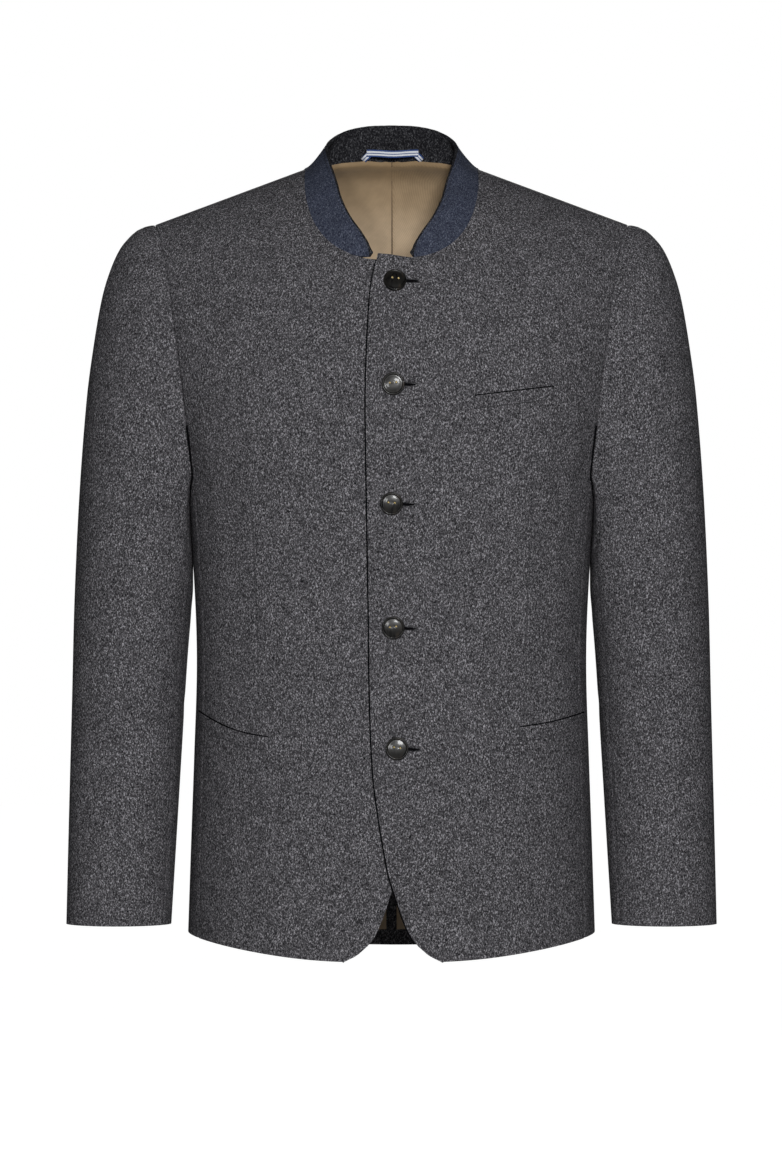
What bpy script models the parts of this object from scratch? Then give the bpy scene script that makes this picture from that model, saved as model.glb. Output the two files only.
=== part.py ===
"""Tyrolean loden jacket: a hollow, filled-out jacket with a stand collar and five buttons.

Metres, +Z up. +X is the wearer's left and the jacket faces -Y. The origin is at the base of the
neck, level with the shoulder seams' inner ends. Sizes below are millimetres and are scaled once,
where a mesh is made. Each cut piece is a thin closed wall: a grid of points on the outer face, the
same grid moved in by the cloth's thickness, and a rim that joins them.
"""

from math import asin, cos, degrees, pi, radians, sin

import bmesh
import bpy
from mathutils import Vector

MM = 0.001

CLOTH = 2.0          # loden, one layer with its turned edge
LINING = 1.0
WELT = 1.5           # a welt's own thickness
WELT_CLEAR = 1.3     # how far it stands off the panel's face, which curves between its facets
SEAM = 0.3           # half of the gap that two sewn edges keep
CLEAR = 0.9          # gap between layers that lie on each other
LAP_CLEAR = 1.7      # and between the two fronts, whose facets cross each other

NECK_X = 81.5        # half the neck's width at the shoulder seams
NECK_DROP = 92.0     # how far the front neckline falls below the seams' ends
NECK_RISE = 12.0     # how far the back neckline rises above them
NECK_POWER = 2.6     # squareness of the front neckline
SHOULDER_X = 224.0   # the shoulder point
SHOULDER_SLOPE = 0.372
SEAM_Y = 8.0         # the shoulder seam lies this far behind the middle

ARMHOLE_Z = -290.0   # where the side piece's seams meet the armhole
ARMHOLE_DIP = 30.0   # how far the armhole falls below that, under the arm
HEM_SIDE = 720.0     # hem below the neck, at the side
HEM_EXTRA = 20.5     # and what it gains at the front and the back

BUTTON_R = 10.0
BUTTON_DEEP = 3.6
SHANK_R = 1.6
BUTTONHOLE = (13.0, 5.0)

# Horizontal sections of the body.
# z, half width, depth in front, depth behind
BODY = (
    (-760.0, 193.0, 127.0, 112.0),
    (-640.0, 189.0, 130.0, 112.0),
    (-555.0, 186.0, 130.0, 107.0),
    (-470.0, 183.5, 126.0, 100.0),
    (-400.0, 185.5, 127.0, 106.0),
    (-295.0, 193.5, 131.0, 117.0),
    (-240.0, 207.0, 132.0, 122.0),
    (-180.0, 222.0, 131.0, 124.0),
    (-120.0, 236.0, 129.0, 122.0),
    (-60.0, 244.0, 126.0, 118.0),
    (0.0, 250.0, 124.0, 112.0),
    (40.0, 250.0, 124.0, 112.0),
)
BODY_POWER = 2.35    # squareness of those sections

# The armhole seam seen from the front and from behind.
# z, half width at the front seam, half width at the back seam
ARMHOLE = (
    (-290.0, 186.5, 189.0),
    (-233.0, 193.0, 196.0),
    (-182.0, 199.0, 201.0),
    (-139.0, 205.0, 206.0),
    (-100.0, 211.0, 212.0),
    (-62.0, 219.5, 219.5),
    (-53.0, 224.0, 224.0),
)

# The lapping front's free edge, and its mirror for the front that lies under it.
# z, x
FRONT_EDGE = (
    (-740.0, 46.0),
    (-734.0, 34.0),
    (-721.0, 20.5),
    (-703.0, 11.5),
    (-684.0, 5.0),
    (-662.0, -2.0),
    (-631.0, -8.0),
    (-592.0, -14.0),
    (-565.0, -17.0),
    (-503.0, -19.7),
    (-407.0, -21.0),
    (-240.0, -23.6),
    (-190.0, -23.0),
    (-119.0, -19.0),
    (-84.0, -12.0),
)
LAP_MIDDLE = 1.2     # the two free edges mirror each other about this x

# The sleeve, from the shoulder or armpit down to the cuff.
# z, x of the outer fold
SLEEVE_OUT = (
    (-711.0, 305.0),
    (-596.0, 303.0),
    (-502.0, 301.0),
    (-407.0, 299.0),
    (-313.0, 295.0),
    (-219.0, 288.0),
    (-172.0, 282.0),
    (-125.0, 274.0),
    (-100.0, 267.0),
    (-77.0, 257.0),
    (-64.0, 246.5),
    (-56.5, 236.5),
    (-53.0, 224.0),
)
# z, x of the inner fold
SLEEVE_IN = (
    (-711.0, 206.5),
    (-596.0, 200.0),
    (-502.0, 193.4),
    (-407.0, 190.2),
    (-360.0, 192.0),
    (-320.0, 193.5),
)
# share of the way down, half depth, how far the middle lies in front
SLEEVE_DEPTH = (
    (0.0, 78.0, 0.0),
    (0.2, 71.0, -2.0),
    (0.5, 61.0, 0.0),
    (0.75, 53.0, 10.0),
    (1.0, 46.0, 28.0),
)
FRONT_SLEEVE_SEAM = 150.0   # degrees round from the shoulder, by way of the front
BACK_SLEEVE_SEAM = 262.0

# The collar's free edge on one side, from its front end round to the middle of the back.
# share of the way, x, y, z
COLLAR_TOP = (
    (0.0, 20.5, -103.0, -87.0),
    (0.05, 23.0, -100.0, -78.5),
    (0.13, 29.5, -94.0, -67.0),
    (0.24, 39.5, -83.0, -52.0),
    (0.34, 48.0, -67.0, -34.0),
    (0.43, 53.5, -47.0, -14.0),
    (0.50, 59.5, -25.0, 4.0),
    (0.58, 62.5, -2.0, 18.5),
    (0.68, 57.0, 18.0, 28.5),
    (0.80, 43.0, 32.0, 36.5),
    (0.90, 23.0, 40.0, 41.0),
    (1.0, 0.0, 42.5, 42.5),
)
COLLAR_FRONT_X = 21.0
COLLAR_CLOTH = 1.6

# Buttons down the front: z, x
BUTTONS = ((-113.0, 3.2), (-209.0, 1.5), (-319.0, 0.0), (-433.0, 1.5), (-544.0, 5.0))

VENT_TOP = -500.0
VENT_LAP = 34.0
LINING_IN = 6.3      # how far the lining lies inside the cloth's outer face
LINING_HEM = 15.0

COLOURS = {
    "loden": ((0.072, 0.071, 0.077), 0.92),
    "navy_felt": ((0.034, 0.042, 0.066), 0.94),
    "twill": ((0.30, 0.235, 0.155), 0.7),
    "tape": ((0.32, 0.38, 0.52), 0.8),
    "horn": ((0.018, 0.017, 0.016), 0.3),
}


# ---------------------------------------------------------------- curves and surfaces

def read(table, at, column):
    """A smooth value from a table whose first column rises, by a cubic through its rows."""
    rows = sorted(table)
    at = min(max(at, rows[0][0]), rows[-1][0])
    last = len(rows) - 1
    i = min(max(sum(row[0] <= at for row in rows) - 1, 0), last - 1)
    x0, x1 = rows[i][0], rows[i + 1][0]
    v0, v1 = rows[i][column], rows[i + 1][column]

    def slope(k):
        a, b = rows[max(k - 1, 0)], rows[min(k + 1, last)]
        return (b[column] - a[column]) / (b[0] - a[0])

    span = x1 - x0
    t = (at - x0) / span
    m0, m1 = slope(i) * span, slope(i + 1) * span
    return ((2 * t**3 - 3 * t**2 + 1) * v0 + (t**3 - 2 * t**2 + t) * m0
            + (3 * t**2 - 2 * t**3) * v1 + (t**3 - t**2) * m1)


def shoulder_z(x):
    return -SHOULDER_SLOPE * (abs(x) - NECK_X)


def power(value, exponent):
    return abs(value) ** exponent * (1 if value >= 0 else -1)


def body_point(turn, z):
    """A point of the body's outer face. turn is 0 at the centre front, 90 at the side, 180 behind."""
    a = radians(turn)
    x = read(BODY, z, 1) * power(sin(a), 2 / BODY_POWER)
    in_front = cos(a) >= 0
    depth = read(BODY, z, 2 if in_front else 3)
    ring_y = -depth * power(cos(a), 2 / BODY_POWER)
    reach, bow = (230.0, 1.7) if in_front else (170.0, 1.8)
    drop = min(max((shoulder_z(x) - z) / reach, 0.0), 1.0)
    full = (1 - (1 - drop) ** bow) ** (1 / bow)
    return Vector((x, SEAM_Y * (1 - full) + ring_y * full, z))


def body_normal(turn, z):
    around = body_point(turn + 0.5, z) - body_point(turn - 0.5, z)
    up = body_point(turn, z) - body_point(turn, z - 2.0)
    return around.cross(up).normalized()


def turn_at(x, z):
    """The turn, in front, of the point that lies at x."""
    share = min(abs(x) / read(BODY, z, 1), 1.0)
    return degrees(asin(share ** (BODY_POWER / 2))) * (1 if x >= 0 else -1)


def neck_z(x):
    """Height of the front neckline."""
    share = min(abs(x) / NECK_X, 1.0)
    return -NECK_DROP * (1 - share**NECK_POWER) ** (1 / NECK_POWER)


def back_neck_z(x):
    return NECK_RISE * (1 - min(abs(x) / NECK_X, 1.0) ** 2)


def front_top(x):
    return neck_z(x) if abs(x) < NECK_X else shoulder_z(x)


def back_top(x):
    return back_neck_z(x) if abs(x) < NECK_X else shoulder_z(x)


def hem_z(turn):
    return -(HEM_SIDE + HEM_EXTRA * cos(radians(turn)) ** 2)


def top_of(turn_of, top_at):
    """The height at which a column of a panel meets the panel's upper edge."""
    low, high = -140.0, 60.0
    for _ in range(40):
        z = (low + high) / 2
        if z < top_at(body_point(turn_of(z), z).x):
            low = z
        else:
            high = z
    return low


def side_turns(z):
    """The turns of the seams in front of and behind the side piece, or of the armhole above it."""
    level = max(z, ARMHOLE_Z)
    front = turn_at(read(ARMHOLE, level, 1), level)
    back = 180 - turn_at(read(ARMHOLE, level, 2), level)
    below = min(max((ARMHOLE_Z - z) / 400.0, 0.0), 1.0)
    return front - 4.0 * below, back + 6.0 * below


# ---------------------------------------------------------------- making objects

def clear_scene():
    for obj in list(bpy.data.objects):
        bpy.data.objects.remove(obj, do_unlink=True)


def collection(name):
    made = bpy.data.collections.new(name)
    bpy.context.scene.collection.children.link(made)
    return made


def material(name):
    colour, roughness = COLOURS[name]
    found = bpy.data.materials.get(name)
    if found:
        return found
    made = bpy.data.materials.new(name)
    made.use_nodes = True
    shader = made.node_tree.nodes["Principled BSDF"]
    shader.inputs["Base Color"].default_value = (*colour, 1)
    shader.inputs["Roughness"].default_value = roughness
    shader.inputs["Metallic"].default_value = 0.0
    return made


def add_object(name, mesh, finish, into):
    obj = bpy.data.objects.new(name, mesh)
    obj.data.materials.append(material(finish))
    into.objects.link(obj)
    return obj


def wall(name, outer, inner, finish, into):
    """A closed wall between two grids of points, given as lists of columns."""
    bm = bmesh.new()
    columns, rows = len(outer), len(outer[0])
    skins = [[[bm.verts.new(p * MM) for p in column] for column in grid] for grid in (outer, inner)]

    def face(*corners):
        bm.faces.new(corners)

    out, into_cloth = skins
    for c in range(columns - 1):
        for r in range(rows - 1):
            face(out[c][r], out[c + 1][r], out[c + 1][r + 1], out[c][r + 1])
            face(into_cloth[c][r], into_cloth[c][r + 1], into_cloth[c + 1][r + 1], into_cloth[c + 1][r])
    border = [(c, 0) for c in range(columns)] + [(columns - 1, r) for r in range(1, rows)]
    border += [(c, rows - 1) for c in range(columns - 2, -1, -1)] + [(0, r) for r in range(rows - 2, 0, -1)]
    for (c, r), (d, s) in zip(border, border[1:] + border[:1]):
        face(out[d][s], out[c][r], into_cloth[c][r], into_cloth[d][s])
    bmesh.ops.recalc_face_normals(bm, faces=bm.faces)
    if bm.calc_volume(signed=True) < 0:
        bmesh.ops.reverse_faces(bm, faces=bm.faces)
    mesh = bpy.data.meshes.new(name)
    bm.to_mesh(mesh)
    bm.free()
    mesh.shade_smooth()
    mesh.set_sharp_from_angle(angle=radians(40))
    return add_object(name, mesh, finish, into)


def mirrored(grid):
    return [[Vector((-p.x, p.y, p.z)) for p in column] for column in grid]


def even(count):
    return [k / count for k in range(count + 1)]


def body_grids(turn_of, heights_of, places, rows, out=0.0, thick=CLOTH, recess=None, edge=None):
    """The outer and inner grids of a panel that lies on the body, `out` beyond its face.

    places are the columns' shares of the way across. turn_of(share, z) places a column, and
    heights_of(share) gives its lowest and highest z and a function that spaces its rows.
    recess(point) pushes cloth in where another piece laps over it.
    edge(share, row share) may name an axis in which a border's normal is flattened.
    """
    outer, inner = [], []
    for share in places:
        low, high, spacing = heights_of(share)
        outer.append([])
        inner.append([])
        for r in range(rows + 1):
            z = low + (high - low) * spacing(r / rows)
            turn = turn_of(share, z)
            normal = body_normal(turn, z)
            flat = edge(share, r / rows) if edge else None
            if flat is not None:
                normal[flat] = 0.0
                normal.normalize()
            point = body_point(turn, z)
            lift = out - (recess(point) if recess else 0.0)
            outer[-1].append(point + normal * lift)
            inner[-1].append(point + normal * (lift - thick))
    return outer, inner


# ---------------------------------------------------------------- body panels

def ease_both(t):
    """Rows closer together at the hem and at the shoulder."""
    return t + 0.11 * sin(2 * pi * (t - 0.5)) - 0.06 * sin(pi * t) ** 2 * (1 - 2 * t)


def front_places(turn_of):
    """Columns that meet the neckline at even angles and its outer corner exactly, then the shoulder."""
    found = [0.0]
    for k in range(1, 8):
        x = NECK_X * sin(radians(90 * k / 7)) ** (2 / NECK_POWER)
        z = neck_z(x)
        first, last = turn_of(0.0, z), turn_of(1.0, z)
        found.append((turn_at(x, z) - first) / (last - first))
    corner = found[-1]
    return found + [corner + (1 - corner) * k / 9 for k in range(1, 10)]


def lap_edge(z):
    return read(FRONT_EDGE, z, 1)


def front_grids(under):
    """The wearer's left front, or for `under` the right one, mirrored and lapped by the left."""
    shift = 2 * LAP_MIDDLE if under else 0.0

    def turn_of(share, z):
        first = turn_at(lap_edge(z) - shift, z)
        last = side_turns(z)[0] - degrees(SEAM / read(BODY, z, 2)) * 2.2
        return first + (last - first) * share

    def heights_of(share):
        low = hem_z(turn_of(share, -735.0))
        high = top_of(lambda z: turn_of(share, z), front_top)
        return low, high, ease_both

    def recess(point):
        if not under:
            return 0.0
        lap = min(max((45.0 - point.x) / 20.0, 0.0), 1.0)
        return (CLOTH + LAP_CLEAR) * lap * lap * (3 - 2 * lap)

    def edge(share, row_share):
        on_shoulder = row_share == 1 and body_point(turn_of(share, -30.0), -30.0).x > NECK_X - 6
        return 1 if on_shoulder else None

    return body_grids(turn_of, heights_of, front_places(turn_of), 19, recess=recess, edge=edge)


def with_seam_y(grids, shift):
    """Moves a panel's shoulder row off the seam line, to leave the sewn edges' gap."""
    for grid in grids:
        for column in grid:
            column[-1].y += shift
    return grids


def add_fronts(into, cutters):
    left = wall("front_left", *with_seam_y(front_grids(False), -SEAM), "loden", into)
    right = [mirrored(grid) for grid in with_seam_y(front_grids(True), -SEAM)]
    wall("front_right", *right, "loden", into)
    for z, x in BUTTONS:
        cut_buttonhole(left, x, z, cutters)


def cut_buttonhole(panel, x, z, cutters):
    """A slit through the lapping front, from just inside the button's thread towards the wearer's left."""
    length, height = BUTTONHOLE
    y = body_point(turn_at(x, z), z).y
    bpy.ops.mesh.primitive_cube_add(size=1, location=((x + length / 2 - 3.0) * MM, y * MM, z * MM))
    cutter = bpy.context.object
    cutter.name = f"buttonhole_cutter_{round(-z)}"
    cutter.scale = (length * MM, 16 * MM, height * MM)
    bpy.ops.object.transform_apply(location=False, rotation=False, scale=True)
    for group in list(cutter.users_collection):
        group.objects.unlink(cutter)
    cutters.objects.link(cutter)
    cutter.hide_render = True
    cutter.display_type = "WIRE"
    cut = panel.modifiers.new(cutter.name, "BOOLEAN")
    cut.operation = "DIFFERENCE"
    cut.solver = "EXACT"
    cut.object = cutter


def back_grids(
    laps_under, out=0.0, thick=CLOTH, hem_lift=0.0, columns=10, rows=16, vent_gap=None, top_drop=0.0
):
    """A back half on the wearer's left, from the side seam to the centre back.

    laps_under carries it on past the centre, below the vent's top, and vent_gap holds it back there.
    """
    def turn_of(share, z):
        first = side_turns(z)[1] + degrees(SEAM / read(BODY, z, 3)) * 2.2
        width = read(BODY, z, 1)
        middle = SEAM
        below = min(max((VENT_TOP - z) / 24.0, 0.0), 1.0)
        if laps_under:
            middle = SEAM - VENT_LAP * below
        if vent_gap is not None:
            middle = SEAM + vent_gap * below
        last = 180 - degrees(asin(power(middle / width, BODY_POWER / 2)))
        return first + (last - first) * share

    def heights_of(share):
        low = hem_z(turn_of(share, -735.0)) + hem_lift
        high = top_of(lambda z: turn_of(share, z), back_top) - top_drop
        return low, high, ease_both

    def recess(point):
        if not laps_under:
            return 0.0
        lap = min(max((16.0 - point.x) / 14.0, 0.0), 1.0)
        below = min(max((VENT_TOP + 100.0 - point.z) / 40.0, 0.0), 1.0)
        return (CLOTH + CLEAR) * lap * below

    def edge(share, row_share):
        if row_share == 1 and body_point(turn_of(share, -30.0), -30.0).x > NECK_X - 6:
            return 1
        return 0 if share == 1 and not laps_under else None

    return body_grids(turn_of, heights_of, even(columns), rows, out, thick, recess, edge)


def add_backs(into):
    wall("back_left", *with_seam_y(back_grids(False), SEAM), "loden", into)
    right = [mirrored(grid) for grid in with_seam_y(back_grids(True), SEAM)]
    wall("back_right", *right, "loden", into)


def add_side_pieces(into):
    def turn_of(share, z):
        first, last = side_turns(z)
        gap = degrees(SEAM / read(BODY, z, 3)) * 2.2
        return first + gap + (last - first - 2 * gap) * share

    def heights_of(share):
        high = ARMHOLE_Z - ARMHOLE_DIP * sin(pi * share)
        return hem_z(turn_of(share, -725.0)), high, lambda t: t

    grids = body_grids(turn_of, heights_of, even(4), 12)
    wall("side_left", *grids, "loden", into)
    wall("side_right", *[mirrored(grid) for grid in grids], "loden", into)


# ---------------------------------------------------------------- sleeves

def armhole_point(round_):
    """The armhole seam at an angle round it: 0 at the shoulder, 90 in front, 180 under the arm."""
    top, bottom = -(SHOULDER_X - NECK_X) * SHOULDER_SLOPE, ARMHOLE_Z - ARMHOLE_DIP
    z = (top + bottom) / 2 + (top - bottom) / 2 * cos(radians(round_))
    if z >= ARMHOLE_Z:
        front, back = side_turns(z)
        return body_point(front if round_ < 180 else back, z)
    half = (top - bottom) / 2
    corner = degrees(pi - asin((1 - ((ARMHOLE_Z - bottom - half) / half) ** 2) ** 0.5))
    share = (round_ - corner) / (360 - 2 * corner)
    front, back = side_turns(ARMHOLE_Z)
    level = ARMHOLE_Z - ARMHOLE_DIP * sin(pi * share)
    return body_point(front + (back - front) * share, level)


def sleeve_ellipse(down, round_):
    """The plain tube: sheared rings between the outer fold and the inner fold."""
    top_out, top_in, cuff = SLEEVE_OUT[-1][0], SLEEVE_IN[-1][0], SLEEVE_OUT[0][0]
    z_out = top_out + (cuff - top_out) * down
    z_in = top_in + (cuff - top_in) * down
    outside = Vector((read(SLEEVE_OUT, z_out, 1), 0, z_out))
    inside = Vector((read(SLEEVE_IN, z_in, 1), 0, z_in))
    half_depth, forward = read(SLEEVE_DEPTH, down, 1), read(SLEEVE_DEPTH, down, 2)
    a = radians(round_)
    point = (outside + inside) / 2 + (outside - inside) / 2 * cos(a)
    point.y = -forward - half_depth * sin(a)
    return point


def sleeve_point(down, round_):
    fade = max(1 - down / 0.45, 0.0) ** 2
    seam = armhole_point(round_ % 360) + Vector((0.8, 0, 0))
    return sleeve_ellipse(down, round_) + (seam - sleeve_ellipse(0.0, round_)) * fade


def sleeve_normal(down, round_):
    lower = min(down + 0.004, 1.0)
    along = sleeve_point(lower, round_) - sleeve_point(lower - 0.006 if down > 0.01 else 0.0, round_)
    across = sleeve_point(down, round_ + 1.0) - sleeve_point(down, round_ - 1.0)
    return across.cross(along).normalized()


def sleeve_grids(first, last, columns, rows=15):
    outer, inner = [], []
    for c in range(columns + 1):
        round_ = first + (last - first) * c / columns
        outer.append([])
        inner.append([])
        for r in range(rows + 1):
            down = (r / rows) ** 1.45
            normal = sleeve_normal(down, round_)
            point = sleeve_point(down, round_)
            if normal.dot(point - sleeve_middle(down)) < 0:
                normal = -normal
            outer[-1].append(point)
            inner[-1].append(point - normal * CLOTH)
    return outer, inner


def sleeve_middle(down):
    return (sleeve_ellipse(down, 0.0) + sleeve_ellipse(down, 180.0)) / 2


def add_sleeves(into):
    gap = 0.4
    top = sleeve_grids(BACK_SLEEVE_SEAM - 360 + gap, FRONT_SLEEVE_SEAM - gap, 13)
    under = sleeve_grids(FRONT_SLEEVE_SEAM + gap, BACK_SLEEVE_SEAM - gap, 7)
    for name, grids in (("top_sleeve", top), ("under_sleeve", under)):
        wall(name + "_left", *grids, "loden", into)
        wall(name + "_right", *[mirrored(grid) for grid in grids], "loden", into)


# ---------------------------------------------------------------- collar

def neck_seam(share):
    """The neckline on the wearer's left, from the collar's front end (0) to the centre back (1)."""
    if share < 0.5:
        start = degrees(asin((COLLAR_FRONT_X / NECK_X) ** (NECK_POWER / 2)))
        a = radians(start + (90 - start) * share * 2)
        x = NECK_X * sin(a) ** (2 / NECK_POWER)
        z = neck_z(x)
        return body_point(turn_at(x, z), z)
    x = NECK_X * cos(radians((share - 0.5) * 180))
    z = back_neck_z(x)
    return body_point(180 - turn_at(x, z), z)


def collar_top(share):
    return Vector([read(COLLAR_TOP, share, column) for column in (1, 2, 3)])


def collar_point(share, up):
    """share runs 0 to 2 from the wearer's left front end round the back to the right one."""
    half = share if share <= 1 else 2 - share
    low = neck_seam(half) + Vector((0, 0, 3 * SEAM))
    point = low.lerp(collar_top(half), up)
    point.y += 1.5 * sin(pi * up) * (1 if half > 0.5 else -1) * sin(pi * half)
    return point if share <= 1 else Vector((-point.x, point.y, point.z))


def collar_normal(share, up):
    a, b = max(share - 0.02, 0.0), min(share + 0.02, 2.0)
    along = collar_point(b, up) - collar_point(a, up)
    across = collar_point(share, min(up + 0.1, 1.0)) - collar_point(share, max(up - 0.1, 0.0))
    normal = along.cross(across).normalized()
    middle = Vector((0, -25.0, collar_point(share, up).z))
    return normal if normal.dot(collar_point(share, up) - middle) > 0 else -normal


def collar_grids(offset, low, high, start, columns, rows):
    outer, inner = [], []
    for c in range(columns + 1):
        share = start + (2 - 2 * start) * c / columns
        normals = [collar_normal(share, low + (high - low) * r / rows) for r in range(rows + 1)]
        points = [collar_point(share, low + (high - low) * r / rows) for r in range(rows + 1)]
        outer.append([p - n * offset for p, n in zip(points, normals)])
        inner.append([p - n * (offset + COLLAR_CLOTH) for p, n in zip(points, normals)])
    return outer, inner


def add_collar(into):
    wall("collar_outer", *collar_grids(0.0, 0.02, 1.0, 0.0, 34, 3), "navy_felt", into)
    inner = collar_grids(COLLAR_CLOTH + CLEAR, 0.02, 1.0, 0.03, 32, 2)
    wall("collar_inner", *inner, "loden", into)


# ---------------------------------------------------------------- lining and trim

def add_lining(into):
    grids = back_grids(False, -LINING_IN, LINING, LINING_HEM, 6, 12, vent_gap=5.0, top_drop=3.0)
    wall("lining_left", *grids, "twill", into)
    wall("lining_right", *[mirrored(grid) for grid in grids], "twill", into)


def strip_on_front(name, ends, height, columns, into, left=True, bow=0.0):
    """A welt that lies on the front: ends are the (x, z) of its upper corners, inner one first."""
    (x0, z0), (x1, z1) = ends
    outer, inner = [], []
    for c in range(columns + 1):
        share = c / columns
        x = x0 + (x1 - x0) * share
        top = z0 + (z1 - z0) * share - bow * sin(pi * share)
        outer.append([])
        inner.append([])
        for r in range(3):
            z = top - height * (1 - r / 2)
            turn = turn_at(x, z)
            point, normal = body_point(turn, z), body_normal(turn, z)
            inner[-1].append(point + normal * WELT_CLEAR)
            outer[-1].append(point + normal * (WELT_CLEAR + WELT))
    if not left:
        outer, inner = mirrored(outer), mirrored(inner)
    wall(name, outer, inner, "loden", into)


def add_pockets(into):
    strip_on_front("breast_welt", ((76.0, -220.0), (150.0, -210.5)), 11.5, 8, into)
    strip_on_front("hip_welt_left", ((118.0, -525.0), (180.0, -513.0)), 13.0, 8, into, bow=1.5)
    strip_on_front("hip_welt_right", ((113.0, -527.0), (180.0, -513.0)), 13.0, 8, into, left=False, bow=2.0)


def add_hanger_loop(into):
    """A woven tape: two short legs from the collar seam and a level run between them."""
    # x, y, z of the tape's middle, and the direction across it as x and z
    run = (
        (-33.0, 29.0, 11.0, 0.85, 0.52),
        (-27.0, 27.5, 17.0, 0.75, 0.66),
        (-20.0, 27.0, 20.2, 0.2, 0.98),
        (-7.0, 27.0, 21.0, 0.0, 1.0),
        (9.0, 27.0, 21.0, 0.0, 1.0),
        (22.0, 27.0, 20.2, -0.2, 0.98),
        (29.0, 27.5, 17.0, -0.75, 0.66),
        (35.0, 29.0, 11.0, -0.85, 0.52),
    )
    half, thick = 3.4, 0.9
    face = [[Vector((x + a * s * half, y, z + b * s * half)) for s in (-1, 1)] for x, y, z, a, b in run]
    back = [[p + Vector((0, thick, 0)) for p in column] for column in face]
    wall("hanger_loop", face, back, "tape", into)


def button_mesh():
    """A turned button about its own axis: raised rim, shallow dished face, thread shank behind."""
    shank = CLOTH + LAP_CLEAR
    profile = (
        (0.0, BUTTON_DEEP - 0.9),
        (4.5, BUTTON_DEEP - 0.8),
        (7.6, BUTTON_DEEP - 0.9),
        (8.3, BUTTON_DEEP - 0.2),
        (9.2, BUTTON_DEEP),
        (BUTTON_R, BUTTON_DEEP - 0.9),
        (BUTTON_R, 1.6),
        (7.5, 0.2),
        (SHANK_R, 0.0),
        (SHANK_R, -shank),
        (0.0, -shank),
    )
    bm = bmesh.new()
    points = [bm.verts.new((x * MM, 0, z * MM)) for x, z in profile]
    edges = [bm.edges.new(pair) for pair in zip(points, points[1:])]
    bmesh.ops.spin(bm, geom=points + edges, axis=(0, 0, 1), cent=(0, 0, 0), steps=16, angle=2 * pi)
    bmesh.ops.remove_doubles(bm, verts=bm.verts, dist=1e-6)
    bmesh.ops.recalc_face_normals(bm, faces=bm.faces)
    mesh = bpy.data.meshes.new("button")
    bm.to_mesh(mesh)
    bm.free()
    mesh.shade_smooth()
    mesh.set_sharp_from_angle(angle=radians(35))
    return mesh


def add_buttons(into):
    mesh = button_mesh()
    for number, (z, x) in enumerate(BUTTONS, 1):
        turn = turn_at(x, z)
        point, normal = body_point(turn, z), body_normal(turn, z)
        button = add_object(f"button_{number}", mesh, "horn", into)
        button.location = (point + normal * CLEAR) * MM
        button.rotation_euler = normal.to_track_quat("Z", "Y").to_euler()


def main():
    clear_scene()
    jacket = collection("tyrolean_loden_jacket")
    cutters = collection("cutters")
    add_fronts(jacket, cutters)
    add_backs(jacket)
    add_side_pieces(jacket)
    add_sleeves(jacket)
    add_collar(jacket)
    add_lining(jacket)
    add_pockets(jacket)
    add_hanger_loop(jacket)
    add_buttons(jacket)


main()
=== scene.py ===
"""Looks of the tyrolean loden jacket: cloth shells, seams, stitches, buttons and finishes.

The cloth follows the same cut as the fixed model, in millimetres, and is scaled once where a mesh
is made. +X is the wearer's left, and the jacket faces -Y.
"""

from math import acos, asin, cos, degrees, exp, pi, radians, sin

import bmesh
import bpy
from mathutils import Euler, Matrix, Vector


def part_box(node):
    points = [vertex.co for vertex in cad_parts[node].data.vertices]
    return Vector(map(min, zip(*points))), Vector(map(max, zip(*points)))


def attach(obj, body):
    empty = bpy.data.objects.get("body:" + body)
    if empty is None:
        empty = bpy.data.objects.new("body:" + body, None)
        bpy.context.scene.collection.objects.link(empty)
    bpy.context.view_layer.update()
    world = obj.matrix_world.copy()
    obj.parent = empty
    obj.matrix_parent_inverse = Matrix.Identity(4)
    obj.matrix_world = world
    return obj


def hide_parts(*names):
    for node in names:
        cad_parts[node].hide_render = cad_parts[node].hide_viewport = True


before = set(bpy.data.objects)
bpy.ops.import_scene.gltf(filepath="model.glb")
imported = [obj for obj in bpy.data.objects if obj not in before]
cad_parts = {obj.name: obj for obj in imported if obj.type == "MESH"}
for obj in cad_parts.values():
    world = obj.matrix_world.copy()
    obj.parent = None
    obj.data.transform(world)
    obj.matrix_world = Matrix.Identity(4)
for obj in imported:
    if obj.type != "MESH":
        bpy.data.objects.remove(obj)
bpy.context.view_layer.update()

MM = 0.001

# ---- the cut

CLOTH = 2.0
LINING = 1.0
LAP_CLEAR = 0.9

NECK_X = 81.5
NECK_DROP = 92.0
NECK_RISE = 12.0
NECK_POWER = 2.6
SHOULDER_X = 224.0
SHOULDER_SLOPE = 0.372
SEAM_Y = 8.0
ARMHOLE_Z = -290.0
ARMHOLE_DIP = 30.0
HEM_SIDE = 720.0
HEM_EXTRA = 20.5
BODY_POWER = 2.35

# z, half width, depth in front, depth behind
BODY = (
    (-760, 193, 127, 112),
    (-640, 189, 130, 112),
    (-555, 186, 130, 107),
    (-470, 183.5, 126, 100),
    (-400, 185.5, 127, 106),
    (-295, 193.5, 131, 117),
    (-240, 207, 132, 122),
    (-180, 222, 131, 124),
    (-120, 236, 129, 122),
    (-60, 244, 126, 118),
    (0, 250, 124, 112),
    (40, 250, 124, 112),
)
# z, half width at the front seam, half width at the back seam
ARMHOLE = (
    (-290, 186.5, 189),
    (-233, 193, 196),
    (-182, 199, 201),
    (-139, 205, 206),
    (-100, 211, 212),
    (-62, 219.5, 219.5),
    (-53, 224, 224),
)
# z, x of the lapping front's free edge
FRONT_EDGE = (
    (-740, 46),
    (-734, 34),
    (-721, 20.5),
    (-703, 11.5),
    (-684, 5),
    (-662, -2),
    (-631, -8),
    (-592, -14),
    (-565, -17),
    (-503, -19.7),
    (-407, -21),
    (-240, -23.6),
    (-190, -23),
    (-119, -19),
    (-84, -12),
)
LAP_MIDDLE = 1.2
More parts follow.
